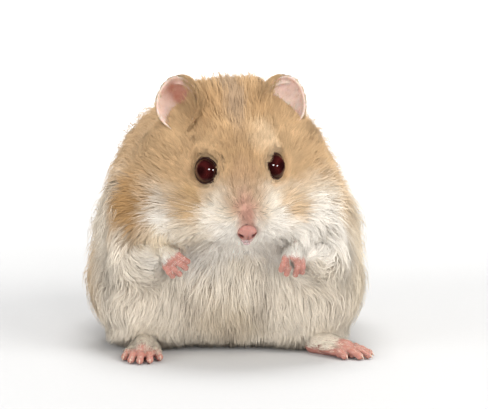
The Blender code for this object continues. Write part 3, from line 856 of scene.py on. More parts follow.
class Hide:
    """Points, normals, lie of the hair, and the length, depth and width of its tufts."""

    def __init__(self, points, triangles, lie, length, depth, width):
        self.points, self.triangles, self.lie = points, triangles, lie
        self.length, self.depth, self.width = length, depth, width
        self.normals = normals_of(points, triangles)
        self.shade_normals = self.normals
        corners = points[triangles]
        flat = np.cross(corners[:, 1] - corners[:, 0], corners[:, 2] - corners[:, 0])
        self.areas = np.linalg.norm(flat, axis=1) / 2
        self.middles = corners.mean(1)
        self.tree = tree_of(points)

    def scatter(self, number, share):
        """Random places, in proportion to each triangle's share. Sets the roots."""
        self.chosen = rng.choice(len(self.triangles), number, p=share / share.sum())
        a, b = rng.random((2, number))
        over = a + b > 1
        a[over], b[over] = 1 - a[over], 1 - b[over]
        self.weights = np.stack([1 - a - b, a, b], 1)
        self.roots = self.at_roots(self.points)
        self.root_normals = unit(self.at_roots(self.normals))
        self.root_shade = unit(self.at_roots(self.shade_normals))
        self.root_lie = lay_flat(self.at_roots(self.lie), self.root_normals)
        self.root_length = self.at_roots(self.length)
        self.root_depth = self.at_roots(self.depth)
        self.root_width = self.at_roots(self.width)

    def at_roots(self, values):
        shape = (len(self.weights), 3) + (1,) * (values.ndim - 1)
        return (values[self.triangles[self.chosen]] * self.weights.reshape(shape)).sum(1)

    def step(self, places, directions, distance):
        """One step over the surface. Returns the new places, normals, lie and depth there."""
        ahead = places + directions * distance[:, None]
        find = self.tree.find
        index = np.array([find(place)[1] for place in ahead])
        normal = self.normals[index]
        ahead -= normal * ((ahead - self.points[index]) * normal).sum(1, keepdims=True)
        return ahead, normal, self.lie[index], self.depth[index]

    def walk(self, who, length, wander, height, to_knee=0.46):
        """Root, knee and tip of a tuft on each of those roots. Height is a share of the depth."""
        normals, lie = self.root_normals[who], self.root_lie[who]
        sideways = np.cross(normals, lie)
        start = unit(lie * np.cos(wander)[:, None] + sideways * np.sin(wander)[:, None])
        knee, normal, onward, depth = self.step(self.roots[who], start, length * to_knee)
        knee_up = normal * (depth * height * 0.78)[:, None]
        onward = unit(onward + 0.6 * start)
        tip, normal, _, depth = self.step(knee, onward, length * (1 - to_knee))
        tip_up = normal * (depth * height)[:, None]
        return self.roots[who] - normals * ROOT_DEPTH, knee + knee_up, tip + tip_up


def nearest_of(places, targets):
    find = tree_of(targets).find
    return np.array([find(place)[1] for place in places])


# %% Comb a surface: lengths, layers and locks
GUARD_HAIR, UNDER_HAIR = 0.12, 0.35  # shares of the long outer and the short inner hair
LOCK_SIZE = 3.4


def comb(hide, gather=0.50, longer=1.2, flyaway=0.05):
    """Gives each root its tuft. Neighbours lean together by gather; a few fly away."""
    number = len(hide.roots)
    layer = rng.random(number)
    guard, under, loose = layer > 1 - GUARD_HAIR, layer < UNDER_HAIR, layer > 1 - flyaway

    def by_layer(values, of_guard, of_under):
        """The values times a factor of their own for guard hair and for under hair."""
        return np.where(guard, values * of_guard, np.where(under, values * of_under, values))

    length = longer * hide.root_length * rng.normal(1.0, 0.16, number).clip(0.6, 1.5)
    length = by_layer(length, 1.15, 0.62)
    height = rng.normal(1.0, 0.16, number).clip(0.5, 1.5)
    height = by_layer(height, 1.3, 0.62)
    height = np.where(loose, height * rng.uniform(1.1, 1.7, number), height).clip(0, 1.75)
    wander = by_layer(np.radians(rng.normal(0, 9, number)), 2.0, 1.0)
    base, knee, tip = hide.walk(np.arange(number), length, wander, height)
    leaders = np.flatnonzero(rng.random(number) < 1 / (11 + LOCK_SIZE * hide.root_length))
    lock_wander = np.radians(rng.normal(0, 13, len(leaders)))
    lock_height = rng.normal(1.06, 0.22, len(leaders)).clip(0.6, 1.7)
    lock_length = rng.normal(1.06, 0.15, len(leaders)).clip(0.7, 1.5)
    lock_length *= longer * hide.root_length[leaders]
    _, lock_knee, lock_tip = hide.walk(leaders, lock_length, lock_wander, lock_height)
    own = nearest_of(hide.roots, hide.roots[leaders])
    pull = np.where(guard, 0.15, np.where(under, 0.5 * gather, gather))
    pull = (pull * rng.uniform(0.6, 1.25, number))[:, None]
    tip += (lock_tip[own] - tip) * pull
    knee += (lock_knee[own] - knee) * pull * 0.38
    curl = np.cross(hide.root_normals, hide.root_lie) * rng.normal(0, 0.06, number)[:, None]
    knee += curl * length[:, None]
    width = hide.root_width * rng.normal(0.70, 0.13, number).clip(0.34, 1.1)
    width = by_layer(width, 0.7, 1.0)
    tone = rng.normal(1.0, 0.06, number) * rng.normal(1.0, 0.08, len(leaders))[own]
    return {"base": base, "knee": knee, "tip": tip, "width": width, "tone": tone}


SOFT_SHADE = 0.62  # how much a tuft is shaded as the body is, rather than as a strand


def build_tufts(tufts, normals, smooth_normals, thickness=0.55):
    """Three-sided spindles: a point at the root, a ring at the knee, and a point at the tip."""
    base, knee, tip = tufts["base"], tufts["knee"], tufts["tip"]
    axis = unit(tip - base)
    side = unit(np.cross(axis, normals))
    up = np.cross(side, axis)
    points = np.empty((len(base), TUFT_POINTS, 3))
    shade = np.empty_like(points)
    points[:, 0], points[:, 4] = base, tip
    shade[:, 0], shade[:, 4] = up, up
    for corner in range(3):
        angle = 2 * math.pi * corner / 3 - math.pi / 2
        reach = side * math.cos(angle) + up * math.sin(angle)
        flat = side * math.cos(angle) + up * math.sin(angle) * thickness
        points[:, 1 + corner] = knee + flat * (tufts["width"] / 2)[:, None]
        shade[:, 1 + corner] = reach
    shade = unit(shade * (1 - SOFT_SHADE) + smooth_normals[:, None] * SOFT_SHADE)
    pattern = []
    for corner in range(3):
        here, after = 1 + corner, 1 + (corner + 1) % 3
        pattern += [(0, here, after), (after, here, 4)]
    faces = np.arange(len(base))[:, None, None] * TUFT_POINTS + np.array(pattern)[None]
    return points.reshape(-1, 3), faces.reshape(-1, 3), shade.reshape(-1, 3)


# %% An unwrap of a surface, for the colours of its tufts
PATCH = 0.003  # what one tuft takes of its surface's map
BLADE_MAP = np.array([(0, -1), (-1, 0), (1, -0.1), (0, 0.2), (0, 1)]) * PATCH / 2


def unwrap(points, triangles, closed=False):
    """Flattens a surface. Returns map coordinates for each corner of its triangles."""
    used, local = np.unique(triangles, return_inverse=True)
    mesh = new_mesh("pattern", points[used], local.reshape(-1, 3))
    pattern = new_piece("pattern", mesh)
    mesh.uv_layers.new(name="flat")
    bpy.context.view_layer.objects.active = pattern
    pattern.select_set(True)
    bpy.ops.object.mode_set(mode="EDIT")
    bpy.ops.mesh.select_all(action="SELECT")
    if closed:
        bpy.ops.uv.smart_project(angle_limit=math.radians(66), island_margin=PATCH)
    else:
        bpy.ops.uv.unwrap(method="CONFORMAL", margin=0.0)
    bpy.ops.object.mode_set(mode="OBJECT")
    flat = np.empty(len(mesh.loops) * 2, np.float32)
    mesh.uv_layers["flat"].data.foreach_get("uv", flat)
    bpy.data.objects.remove(pattern)
    flat = flat.reshape(-1, 2)
    low, high = flat.min(0), flat.max(0)
    flat = PATCH + (flat - low) / (high - low).max() * (1 - 2 * PATCH)
    return flat.reshape(-1, 3, 2)


def add_values(mesh, name, values, kind="FLOAT"):
    """A value, or a vector, for each point of the mesh."""
    slot = mesh.attributes.new(name, kind, "POINT")
    slot.data.foreach_set("vector" if kind == "FLOAT_VECTOR" else "value", values.astype(np.float32).ravel())


def coat_piece(name, hide, tufts, here, flat_map, paint):
    """The tufts on those roots as one piece, with what their material and their map need."""
    chosen = {key: values[here] for key, values in tufts.items()}
    points, faces, shade = build_tufts(chosen, hide.root_normals[here], hide.root_shade[here])
    mesh = new_mesh(name, points, faces)
    add_values(mesh, "custom_normal", shade, "FLOAT_VECTOR")
    add_values(mesh, "root_place", np.repeat(hide.roots[here] * MM, TUFT_POINTS, 0), "FLOAT_VECTOR")
    add_values(mesh, "along", np.tile([0, 0.5, 0.5, 0.5, 1], len(here)))
    add_values(mesh, "tone", np.repeat(chosen["tone"], TUFT_POINTS))
    at_root = (flat_map[hide.chosen[here]] * hide.weights[here][:, :, None]).sum(1)
    blades = (at_root[:, None] + BLADE_MAP[None]).reshape(-1, 2)
    layer = mesh.uv_layers.new(name="OFBake")
    layer.data.foreach_set("uv", blades[faces.ravel()].astype(np.float32).ravel())
    coat = new_piece(name, mesh, paint)
    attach(coat, "root")
    print(name, "tufts", len(here), "triangles", len(faces))
    return coat


# %% Where the tufts of the body stand
TUFT_COUNT = 218000
CROWDING = 1.2  # the short hair round the eyes stands this much closer
UNDERSIDE_SHARE = 0.35  # where the skin lies on the floor it needs less hair
CROWN_LIFT = 0.40  # the hair on the crown stands up this much more
SHADE_SMOOTHING = 20  # passes; the coat is shaded as if small hollows weren't there
skin_length, skin_depth, skin_width = coat_size(skin_points)
skin_depth = skin_depth * (1 + CROWN_LIFT * smoothstep(10, 15, to_head(skin_points)[:, 2]))
body = Hide(skin_points, skin_triangles, skin_lie, skin_length, skin_depth, skin_width)
body.shade_normals = open_normals
for _ in range(SHADE_SMOOTHING):
    body.shade_normals = skin_neighbours.mean(body.shade_normals)


def outside_eyes(places):
    keep = np.ones(len(places), bool)
    for side in SIDES:
        across, height = from_axis(places, side)
        keep &= ~((across < RIM_RADIUS + 0.04) & (height > SOCKET_BACK))
    return keep


share = body.areas / (skin_width * np.sqrt(skin_length))[skin_triangles].mean(1)
share *= outside_eyes(body.middles)
for centre in eye_centres.values():
    away = np.linalg.norm(body.middles - centre, axis=1)
    share *= 1 + CROWDING * smoothstep(EYE_RADIUS * 2.0, EYE_RADIUS * 1.2, away)
share *= np.where(body.middles[:, 2] < FLOOR_CLEARANCE + 0.2, UNDERSIDE_SHARE, 1.0)
body.scatter(TUFT_COUNT, share)

# %% Part the hair round the eyes, and paint it lighter there
# Painted light: the hair round the eyes is made up to a third lighter, to lift the shade that falls into the
# sockets.
SOCKET_LIGHTENING = 0.32
paler = np.ones(TUFT_COUNT)  # the shortest hair has pale tips
for side, centre in eye_centres.items():
    offset = body.roots - centre
    ahead = eye_axes(side)[:, 2]
    away = np.linalg.norm(offset, axis=1)
    outward = lay_flat(offset - ahead * (offset @ ahead)[:, None], body.root_normals)
    inflow = np.minimum((body.root_lie * outward).sum(1) - 0.25, 0)
    parting = smoothstep(EYE_RADIUS * 2.3, EYE_RADIUS * 1.1, away) * inflow
    body.root_lie = unit(body.root_lie - outward * parting[:, None])
    paler *= 1 + SOCKET_LIGHTENING * smoothstep(EYE_RADIUS * 1.9, EYE_RADIUS * 1.1, away)

# %% Comb the body, and let the lowest hair hang to the floor
HANG_BELOW = 8.5
LOWEST_HAIR = 0.05  # above the floor
body_tufts = comb(body, flyaway=0.03)
body_tufts["tone"] *= paler
height = body.roots[:, 2]
outward = unit(body.root_normals * (1, 1, 0) + 1e-6)
underside = smoothstep(0.35, -0.4, body.root_normals[:, 2]) * smoothstep(HANG_BELOW, 3, height)
reach = 0.85 * body.root_length * rng.uniform(0.7, 1.2, TUFT_COUNT)
drop = unit(outward * 0.7 + np.array([0, 0, -1.0]))
for key, part in (("knee", 0.5), ("tip", 1.0)):
    hanging = body.roots + drop * (reach * part)[:, None] + outward * (0.5 * part)
    body_tufts[key] += (hanging - body_tufts[key]) * underside[:, None]
    lowest = LOWEST_HAIR + 0.4 * rng.random(TUFT_COUNT)
    body_tufts[key][:, 2] = np.maximum(body_tufts[key][:, 2], lowest)

# %% Dark bristles beside the nose
BRISTLE_PAD, BRISTLE_REACH, BRISTLE_SHARE = (2.4, -17.2, -5.4), 2.0, 0.03
BRISTLE_WIDTH = 0.075
folded = to_head(body.roots)
folded[:, 0] = np.abs(folded[:, 0])
beside = np.linalg.norm(folded - BRISTLE_PAD, axis=1)
bristles = np.flatnonzero((beside < BRISTLE_REACH) & (rng.random(TUFT_COUNT) < BRISTLE_SHARE))
away = unit(body.root_lie[bristles] + 0.75 * body.root_normals[bristles])
away = unit(away + 0.25 * rng.normal(size=away.shape))
reach = rng.uniform(1.3, 2.5, len(bristles))[:, None]
body_tufts["knee"][bristles] = body.roots[bristles] + away * reach * 0.4
body_tufts["tip"][bristles] = body.roots[bristles] + away * reach
body_tufts["width"][bristles] = BRISTLE_WIDTH
body_tufts["tone"][bristles] = rng.uniform(0.22, 0.4, len(bristles))
print("bristles:", len(bristles))

# %% Build the coat of the body, region by region
COAT_REGIONS = {  # a middle for each piece of the coat
    "muzzle": head_point(0, -18, -8),
    "brow_left": head_point(5, -12, 6),
    "brow_right": head_point(-5, -12, 6),
    "crown": head_point(0, 0, 15),
    "cheek_left": head_point(13, -9, -6),
    "cheek_right": head_point(-13, -9, -6),
    "chest": pose_origin + (0, -19, 17),
    "belly": pose_origin + (0, -14, 4),
    "thigh_left": pose_origin + (18, -14, 9),
    "thigh_right": pose_origin + (-18, -14, 9),
    "flank_left": pose_origin + (23, 3, 27),
    "flank_right": pose_origin + (-23, 3, 27),
    "back": pose_origin + (0, 16, 42),
    "rump": pose_origin + (0, 30, 22),
    "haunch_left": pose_origin + (18, 20, 12),
    "haunch_right": pose_origin + (-18, 20, 12),
}
seeds = np.array(list(COAT_REGIONS.values()))
triangle_region = ((body.middles[:, None] - seeds[None]) ** 2).sum(2).argmin(1)
for number, name in enumerate(COAT_REGIONS):
    mine = np.flatnonzero(triangle_region == number)
    flat_map = np.zeros((len(skin_triangles), 3, 2))
    flat_map[mine] = unwrap(skin_points, skin_triangles[mine])
    here = np.flatnonzero(triangle_region[body.chosen] == number)
    coat_piece("coat_" + name, body, body_tufts, here, flat_map, coat_paint)

# %% [markdown]
# ## Bare skin
# Nose, lips, ears, hands and feet are bare or thinly haired. Living skin isn't one colour: blood
# shows through where it is thin, and fine creases catch the light. One node group mottles a base
# colour, adds a flush where a mask asks for it, darkens the colour along the creases as painted
# shade, and gives a height for the creases.

# %% Mottled skin
mottle_group, entry, leave = new_group(
    "mottled_skin",
    [
        ("Place", "Vector", None),
        ("Skin", "Color", (0.8, 0.5, 0.42, 1)),
        ("Flush", "Color", (0.6, 0.2, 0.16, 1)),
        ("Flush Mask", "Float", 0.3),
        ("Crease Scale", "Float", 2500.0),
    ],
    [("Colour", "Color"), ("Height", "Float")],
)
blotches = noise_in(mottle_group, entry.outputs["Place"], 700.0, 3.0)["Fac"]
cells = add_node(
    mottle_group, "ShaderNodeTexVoronoi", {"feature": "DISTANCE_TO_EDGE"},
    Vector=entry.outputs["Place"], Scale=entry.outputs["Crease Scale"],
)
crease = add_node(
    mottle_group, "ShaderNodeMapRange", Value=cells.outputs["Distance"], From_Max=0.16
)
# Where a mesh's mask asks for it, the flush is also painted shade, as in the cups of the ears and the
# nostrils.
flush = reckon(mottle_group, "MULTIPLY_ADD", blotches, 0.5, entry.outputs["Flush Mask"])[0]
flush = reckon(mottle_group, "SUBTRACT", flush, 0.2, use_clamp=True)[0]
flushed = mix_colours(mottle_group, flush, entry.outputs["Skin"], entry.outputs["Flush"])
# Painted shade: the colour is darkened along the creases as well as bumped.
dim = add_node(mottle_group, "ShaderNodeMapRange", Value=crease.outputs[0], To_Min=0.82, To_Max=1.0)
mottled = scaled_by(mottle_group, flushed, dim.outputs[0])
mottle_group.links.new(mottled, leave.inputs["Colour"])
mottle_group.links.new(crease.outputs[0], leave.inputs["Height"])


def bare_skin(name, skin_colour, flush_and_shade_colour, mask=0.3, creases=2500.0, roughness=0.5, bump=0.00006):
    """A material of mottled skin. The mask is a number, or the name of a value on the mesh."""
    made, tree, surface = new_material(name, roughness, 0.4)
    surface.inputs["Subsurface Weight"].default_value = 0.25
    surface.inputs["Subsurface Radius"].default_value = (0.0012, 0.0004, 0.0002)
    surface.inputs["Subsurface Scale"].default_value = 0.8
    place = place_in(tree)
    if isinstance(mask, str):
        mask = value_in(tree, mask)
    mottle = use_group(
        tree, mottle_group, Place=place, Skin=(*skin_colour, 1), Flush=(*flush_and_shade_colour, 1),
        Flush_Mask=mask, Crease_Scale=creases,
    )
    relief = add_node(
        tree, "ShaderNodeBump", Height=mottle.outputs["Height"], Strength=0.6, Distance=bump
    )
    tree.links.new(mottle.outputs["Colour"], surface.inputs["Base Color"])
    tree.links.new(relief.outputs[0], surface.inputs["Normal"])
    return made


def finish_piece(piece, slot, *nodes):
    """The piece rides on the one body and stands for those solids, which are hidden. The slot is not used."""
    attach(piece, "root")
    if nodes:
        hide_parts(*nodes)
    return piece


# %% [markdown]
# ## Eyes
# The eye of this animal is dark ruby: no white shows, and the pupil is hardly darker than the
# iris. It is a ball with a slightly steeper cornea, under a clear wet film. The lids are a thin
# moist rim that follows the ball, drawn out a little at both corners.

# %% Eyeballs
EYE_RINGS = 28
EYE_SEGMENTS = 48
CORNEA_LIFT = 0.14
iris_paint, tree, surface = new_material("ruby_eye", 0.05, 0.7)
from_front = value_in(tree, "from_front")
place = place_in(tree)
fibres = noise_in(tree, place, 1800.0, 4.0)["Fac"]
edge = reckon(tree, "MULTIPLY_ADD", fibres, 0.18, from_front)[0]
iris = add_node(tree, "ShaderNodeValToRGB", Fac=edge)
ramp = iris.color_ramp
ramp.elements[0].position, ramp.elements[0].color = 0.30, (0.016, 0.003, 0.003, 1)
ramp.elements[1].position, ramp.elements[1].color = 0.62, (0.050, 0.0075, 0.007, 1)
rim = ramp.elements.new(0.95)
rim.color = (0.022, 0.004, 0.004, 1)
tree.links.new(iris.outputs[0], surface.inputs["Base Color"])


def eyeball(side):
    """A ball of rings about the axis it looks along, with the cornea in front."""
    rings = np.linspace(0, math.pi, EYE_RINGS + 1)[1:-1]
    turns = full_turn(EYE_SEGMENTS)
    angle, turn = np.meshgrid(rings, turns, indexing="ij")
    radius = EYE_RADIUS + CORNEA_LIFT * smoothstep(math.radians(52), 0, angle)
    local = np.stack([np.sin(angle) * np.cos(turn), np.sin(angle) * np.sin(turn), np.cos(angle)], 2)
    local = (local * radius[..., None]).reshape(-1, 3)
    ends = np.array([[0, 0, EYE_RADIUS + CORNEA_LIFT], [0, 0, -EYE_RADIUS]])
    points = np.concatenate([local, ends]) @ eye_axes(side).T + eye_centres[side]
    triangles = cover_rings(len(rings), EYE_SEGMENTS)
    mesh = new_mesh("eye", points, triangles)
    add_values(mesh, "from_front", np.append(angle.ravel(), (0, math.pi)))
    return new_piece("eyeball_" + side, mesh, iris_paint)


LID_WIDTH, LID_THICKNESS = 0.19, 0.12
LID_STEPS, LID_SIDES = 72, 10


def tube_mesh(name, rings, radii_across, radii_up, across, up):
    """A closed loop of rings, as for a lid. Each ring has a middle, two directions and two radii."""
    steps = LID_SIDES
    angles = full_turn(steps)
    points = (
        rings[:, None]
        + across[:, None] * (radii_across[:, None] * np.cos(angles))[..., None]
        + up[:, None] * (radii_up[:, None] * np.sin(angles))[..., None]
    )
    index = np.arange(len(rings) * steps).reshape(len(rings), steps)
    onward, beside = np.roll(index, -1, 0), np.roll(index, -1, 1)
    both = np.roll(onward, -1, 1)
    quads = np.stack([index, beside, both, onward], -1).reshape(-1, 4)
    triangles = np.concatenate([quads[:, [0, 1, 2]], quads[:, [0, 2, 3]]])
    return new_mesh(name, points.reshape(-1, 3), triangles)


lid_paint = bare_skin("lid_skin", (0.075, 0.036, 0.03), (0.04, 0.016, 0.013), 0.4, 5000.0, 0.3)
for side, centre in eye_centres.items():
    ball = finish_piece(eyeball(side), "eye_ruby", "eye_" + side)
    axes = eye_axes(side)
    turns = full_turn(LID_STEPS)
    corner = np.abs(np.cos(turns)) ** 6
    angle = LID_ANGLE + math.radians(1.5) + math.radians(5) * corner - math.radians(2) * np.sin(turns) ** 2
    outward = (np.cos(turns)[:, None] * axes[:, 0] + np.sin(turns)[:, None] * axes[:, 1])
    spoke = np.cos(angle)[:, None] * axes[:, 2] + np.sin(angle)[:, None] * outward
    along_ball = unit(np.sin(angle)[:, None] * -axes[:, 2] + np.cos(angle)[:, None] * outward)
    rings = centre + spoke * (EYE_RADIUS + 0.10)
    pucker = 1 + 0.12 * np.sin(turns * 17)
    lid = tube_mesh(
        "lid", rings, LID_WIDTH * pucker, np.full(len(turns), LID_THICKNESS), along_ball, spoke
    )
    finish_piece(new_piece("eyelid_" + side, lid, lid_paint), "skin_pink")
print("eyes open to", round(math.degrees(LID_ANGLE)), "degrees from the middle")

# %% [markdown]
# ## Ears
# An ear of this animal is a thin cup, open to the front, that narrows at its root. The wall is half
# a millimetre thick and light shines through it. Inside, a low fold runs beside the edge that is
# nearer to the middle of the head. A cup could be cut from a ball, but a grid of rows from its
# back to its rim gives an even wall, a round rim, and the fold.

# %% Ear cups
EAR_RADII = np.array([4.3, 2.8, 5.7])  # half width, depth of the cup, half height
EAR_RIM = 0.10
EAR_SEAT = {  # place on the head, and how the cup is turned about X, Y and Z
    "left": ((9.9, -2.2, 10.8), (-24, 17, 12)),
    "right": ((-9.6, -2.4, 11.9), (-25, -15, -10)),
}
EAR_ROWS, EAR_COLUMNS = 30, 72
EAR_WALL, EAR_EDGE = 0.62, 0.40
# Painted light: the left ear, turned to the lamps, gets little of the dark flush, so it is painted paler than
# the right.
EAR_SHADE_AND_FLUSH = {"left": 0.12, "right": 1.0}  # the left ear is turned to the light, and looks paler

ear_paint = bare_skin("ear_skin", (0.90, 0.70, 0.61), (0.44, 0.17, 0.11), "shade_and_flush", 6000.0, 0.55)
surface = ear_paint.node_tree.nodes["Principled BSDF"]
surface.inputs["Subsurface Weight"].default_value = 0.55
surface.inputs["Subsurface Radius"].default_value = (0.0011, 0.00045, 0.0003)
ears = {}
for side, sign in SIDES.items():
    place_on_head, turn = EAR_SEAT[side]
    axes = np.array(Euler([math.radians(t) for t in turn]).to_matrix())
    to_rim = math.acos(-EAR_RIM)
    angle = np.linspace(0.04, 1, EAR_ROWS)[:, None] * to_rim
    turns = full_turn(EAR_COLUMNS)[None]
    ball = np.stack(np.broadcast_arrays(
        np.sin(angle) * np.cos(turns), np.cos(angle), np.sin(angle) * np.sin(turns)
    ), 2)
    outward = unit(ball / EAR_RADII)
    outer = ball * EAR_RADII
    near_rim = smoothstep(0.6, 1.0, angle / to_rim)
    wall = (EAR_WALL + (EAR_EDGE - EAR_WALL) * near_rim)[..., None]
    inner = outer - outward * wall
    towards_middle = np.cos(turns + (math.pi if sign > 0 else 0))
    fold = 0.55 * np.exp(-(((angle / to_rim - 0.72) / 0.09) ** 2))
    fold = fold * smoothstep(-0.1, 0.6, towards_middle + 0.3 * np.sin(turns))
    inner = inner - outward * fold[..., None]
    rim = (outer[-1] + inner[-1]) / 2 + np.array([0, -0.2, 0])
    rows = np.concatenate([outer, rim[None], inner[::-1]])
    taper = 1 - 0.30 * smoothstep(0.1, 1.0, -rows[..., 2] / EAR_RADII[2])
    rows[..., 0] *= taper
    rows[..., 1] += 0.22 * np.sin(3 * turns + 1.0) * np.abs(rows[..., 2]) / EAR_RADII[2]
    # The dark flush grows deeper into the cup and is taken off on the fold: blood under the thin skin, and
    # painted shade in the depth of the cup.
    depth_inside = np.concatenate([
        np.full(EAR_ROWS, 0.22), [0.12], 0.12 + 0.78 * smoothstep(1.0, 0.66, (angle / to_rim)[::-1, 0])
    ])
    shade_and_flush = np.broadcast_to(depth_inside[:, None], rows.shape[:2]).copy()
    shade_and_flush[EAR_ROWS + 1:] -= fold[::-1]
    shade_and_flush *= 0.30 + 0.70 * smoothstep(-1.0, -0.35, towards_middle)
    shade_and_flush *= EAR_SHADE_AND_FLUSH[side]
    points = np.concatenate([rows.reshape(-1, 3), [rows[0].mean(0), rows[-1].mean(0)]]) @ axes.T
    points += head_point(*place_on_head)
    triangles = cover_rings(len(rows), EAR_COLUMNS)
    middle_out = normals_of(points, triangles)[: EAR_COLUMNS * 4].mean(0) @ axes[:, 1]
    if middle_out < 0:
        triangles = triangles[:, ::-1]
    mesh = new_mesh("ear", points, triangles)
    add_values(mesh, "shade_and_flush", np.append(shade_and_flush.ravel(), (0.2, 0.9)).clip(0, 1))
    finish_piece(new_piece("ear_cup_" + side, mesh, ear_paint), "ear_pink", "ear_" + side)
    ears[side] = (points, triangles, axes, head_point(*place_on_head))
    print("ear", side, "triangles", len(triangles))

# %% [markdown]
# ## Nose and lips
# The nose is a small bare pad, a little wider than high. The nostrils are two commas at its sides,
# and a groove runs down its middle to the split lip. The lips show as a thin pale rim only.

# %% Nose
NOSE_RADII = np.array([1.8, 1.3, 1.55])
NOSE_TURN = (math.radians(28), HEAD_ROLL, HEAD_YAW)


def ball_mesh(subdivisions):
    bm = bmesh.new()
    bmesh.ops.create_icosphere(bm, subdivisions=subdivisions, radius=1)
    points = np.array([vert.co[:] for vert in bm.verts])
    triangles = np.array([[vert.index for vert in face.verts] for face in bm.faces])
    bm.free()
    return points, triangles


ball, triangles = ball_mesh(6)
nose_axes = np.array(Euler(NOSE_TURN).to_matrix())
local = ball * NOSE_RADII
nostril = np.zeros(len(local))
for sign in (1, -1):
    for x, z, size, depth in ((1.12, -0.30, 0.36, 0.75), (1.42, -0.02, 0.26, 0.55), (0.98, -0.55, 0.26, 0.3)):
        away = np.linalg.norm((local[:, [0, 2]] - (sign * x, z)) / size, axis=1)
        nostril = np.maximum(nostril, depth * np.exp(-away**2.2) * (local[:, 1] < 0))
    wing = np.linalg.norm(local[:, [0, 2]] - (sign * 1.35, 0.45), axis=1)
    local[:, 1] -= 0.16 * np.exp(-((wing / 0.5) ** 2)) * (local[:, 1] < 0)
groove = 0.20 * np.exp(-((local[:, 0] / 0.13) ** 2)) * smoothstep(0.5, -0.4, local[:, 2])
local[:, 1] += (nostril + groove * (local[:, 1] < 0))
local[:, 1] += 0.03 * np.sin(9 * local[:, 0]) * np.sin(8 * local[:, 2])
mesh = new_mesh("nose", local @ nose_axes.T + nose_centre, triangles)
# The mask paints shade into the nostrils and down the groove, darkening them nearly to black; elsewhere the
# pad gets a faint mottled flush.
add_values(mesh, "shade_and_flush", (0.10 + nostril * 2.2 + groove * 1.5).clip(0, 1))
nose_paint = bare_skin("nose_skin", (0.60, 0.30, 0.25), (0.13, 0.03, 0.025), "shade_and_flush", 6000.0, 0.38)
finish_piece(new_piece("nose_pad", mesh, nose_paint), "nose_pink", "nose")

# %% Lips
lip_paint = bare_skin("lip_skin", (0.66, 0.48, 0.47), (0.50, 0.28, 0.28), 0.25, 5000.0, 0.4)
ball, triangles = ball_mesh(4)
head_axes = head_turn @ np.array(Euler((math.radians(20), 0, 0)).to_matrix())
lip_parts = []
for x, y, z, radii in (
    (0.48, -16.2, -11.6, (0.60, 0.42, 0.38)),
    (-0.48, -16.2, -11.6, (0.60, 0.42, 0.38)),
    (0, -15.8, -12.2, (0.70, 0.5, 0.32)),
):
    lip_parts.append((head_point(x, y, z), head_axes * np.array(radii)))
points = np.concatenate([ball @ axes.T + centre for centre, axes in lip_parts])
triangles = np.concatenate([triangles + len(ball) * k for k in range(len(lip_parts))])
lips = remesh(new_piece("lips", new_mesh("lips", points, triangles)), 0.07, 2, lip_paint)
finish_piece(lips, "nose_pink")

# %% [markdown]
# ## Hands and feet
# The hands hang under the chin, half hidden in fur, with four short fingers each. The feet are
# broad and flat, with five toes: three long ones side by side and a short one on each side. Each
# finger is a string of balls along its bones, swollen at the joints and at the pad under its tip.
# A fine remesh turns all the balls of one hand into one closed skin.

# %% Strings of balls
ball_points, ball_triangles = ball_mesh(3)


def string(path, radii, spacing=0.16):
    """Balls along a path, each one a middle and three axes."""
    path = np.array(path, float)
    steps = np.linalg.norm(np.diff(path, axis=0), axis=1)
    stops = np.append(0, np.cumsum(steps))
    places = np.linspace(0, stops[-1], max(2, int(stops[-1] / spacing)))
    centres = np.stack([np.interp(places, stops, path[:, k]) for k in range(3)], 1)
    sizes = np.interp(places, stops, radii)
    return [(centre, np.eye(3) * size) for centre, size in zip(centres, sizes)]


def fuse_balls(name, balls, voxel):
    """One closed skin around all the balls."""
    points = np.concatenate([ball_points @ axes.T + centre for centre, axes in balls])
    count = len(ball_points)
    triangles = np.concatenate([ball_triangles + count * k for k in range(len(balls))])
    return remesh(new_piece(name, new_mesh(name, points, triangles)), voxel, 3, paw_paint)


CLAW_RINGS, CLAW_SIDES = 7, 10


def claw_mesh(start, end, bend, radius):
    """A curved cone from start to end. The bend pushes its middle aside."""
    share = np.linspace(0, 1, CLAW_RINGS)[:, None]
    spine = start + (end - start) * share + bend * np.sin(share * math.pi)
    along = unit(np.gradient(spine, axis=0))
    side = unit(np.cross(along, unit(bend) + 1e-3))
    up = np.cross(side, along)
    size = radius * (1 - 0.86 * share**1.3)
    turns = full_turn(CLAW_SIDES)
    rings = spine[:, None] + size[:, None] * (
        side[:, None] * np.cos(turns)[None, :, None] * 0.75 + up[:, None] * np.sin(turns)[None, :, None]
    )
    points = np.concatenate([rings.reshape(-1, 3), [start, end]])
    return points, cover_rings(CLAW_RINGS, CLAW_SIDES)[:, ::-1]


def join_meshes(name, meshes, paint):
    """One piece from several closed meshes."""
    starts = np.cumsum([0] + [len(points) for points, _ in meshes[:-1]])
    points = np.concatenate([points for points, _ in meshes])
    triangles = np.concatenate([faces + start for (_, faces), start in zip(meshes, starts)])
    return new_piece(name, new_mesh(name, points, triangles), paint)


horn_paint, tree, surface = new_material("claw_horn", 0.3, 0.5)
place = place_in(tree)
streaks = noise_in(tree, place, 3000.0, 2.0)["Fac"]
horn = mix_colours(tree, streaks, (0.78, 0.62, 0.50, 1), (0.60, 0.42, 0.33, 1))
tree.links.new(horn, surface.inputs["Base Color"])
surface.inputs["Subsurface Weight"].default_value = 0.3
surface.inputs["Subsurface Radius"].default_value = (0.0005, 0.0003, 0.0002)
paw_paint = bare_skin("paw_skin", (0.62, 0.32, 0.26), (0.44, 0.14, 0.11), 0.30, 3200.0, 0.5)

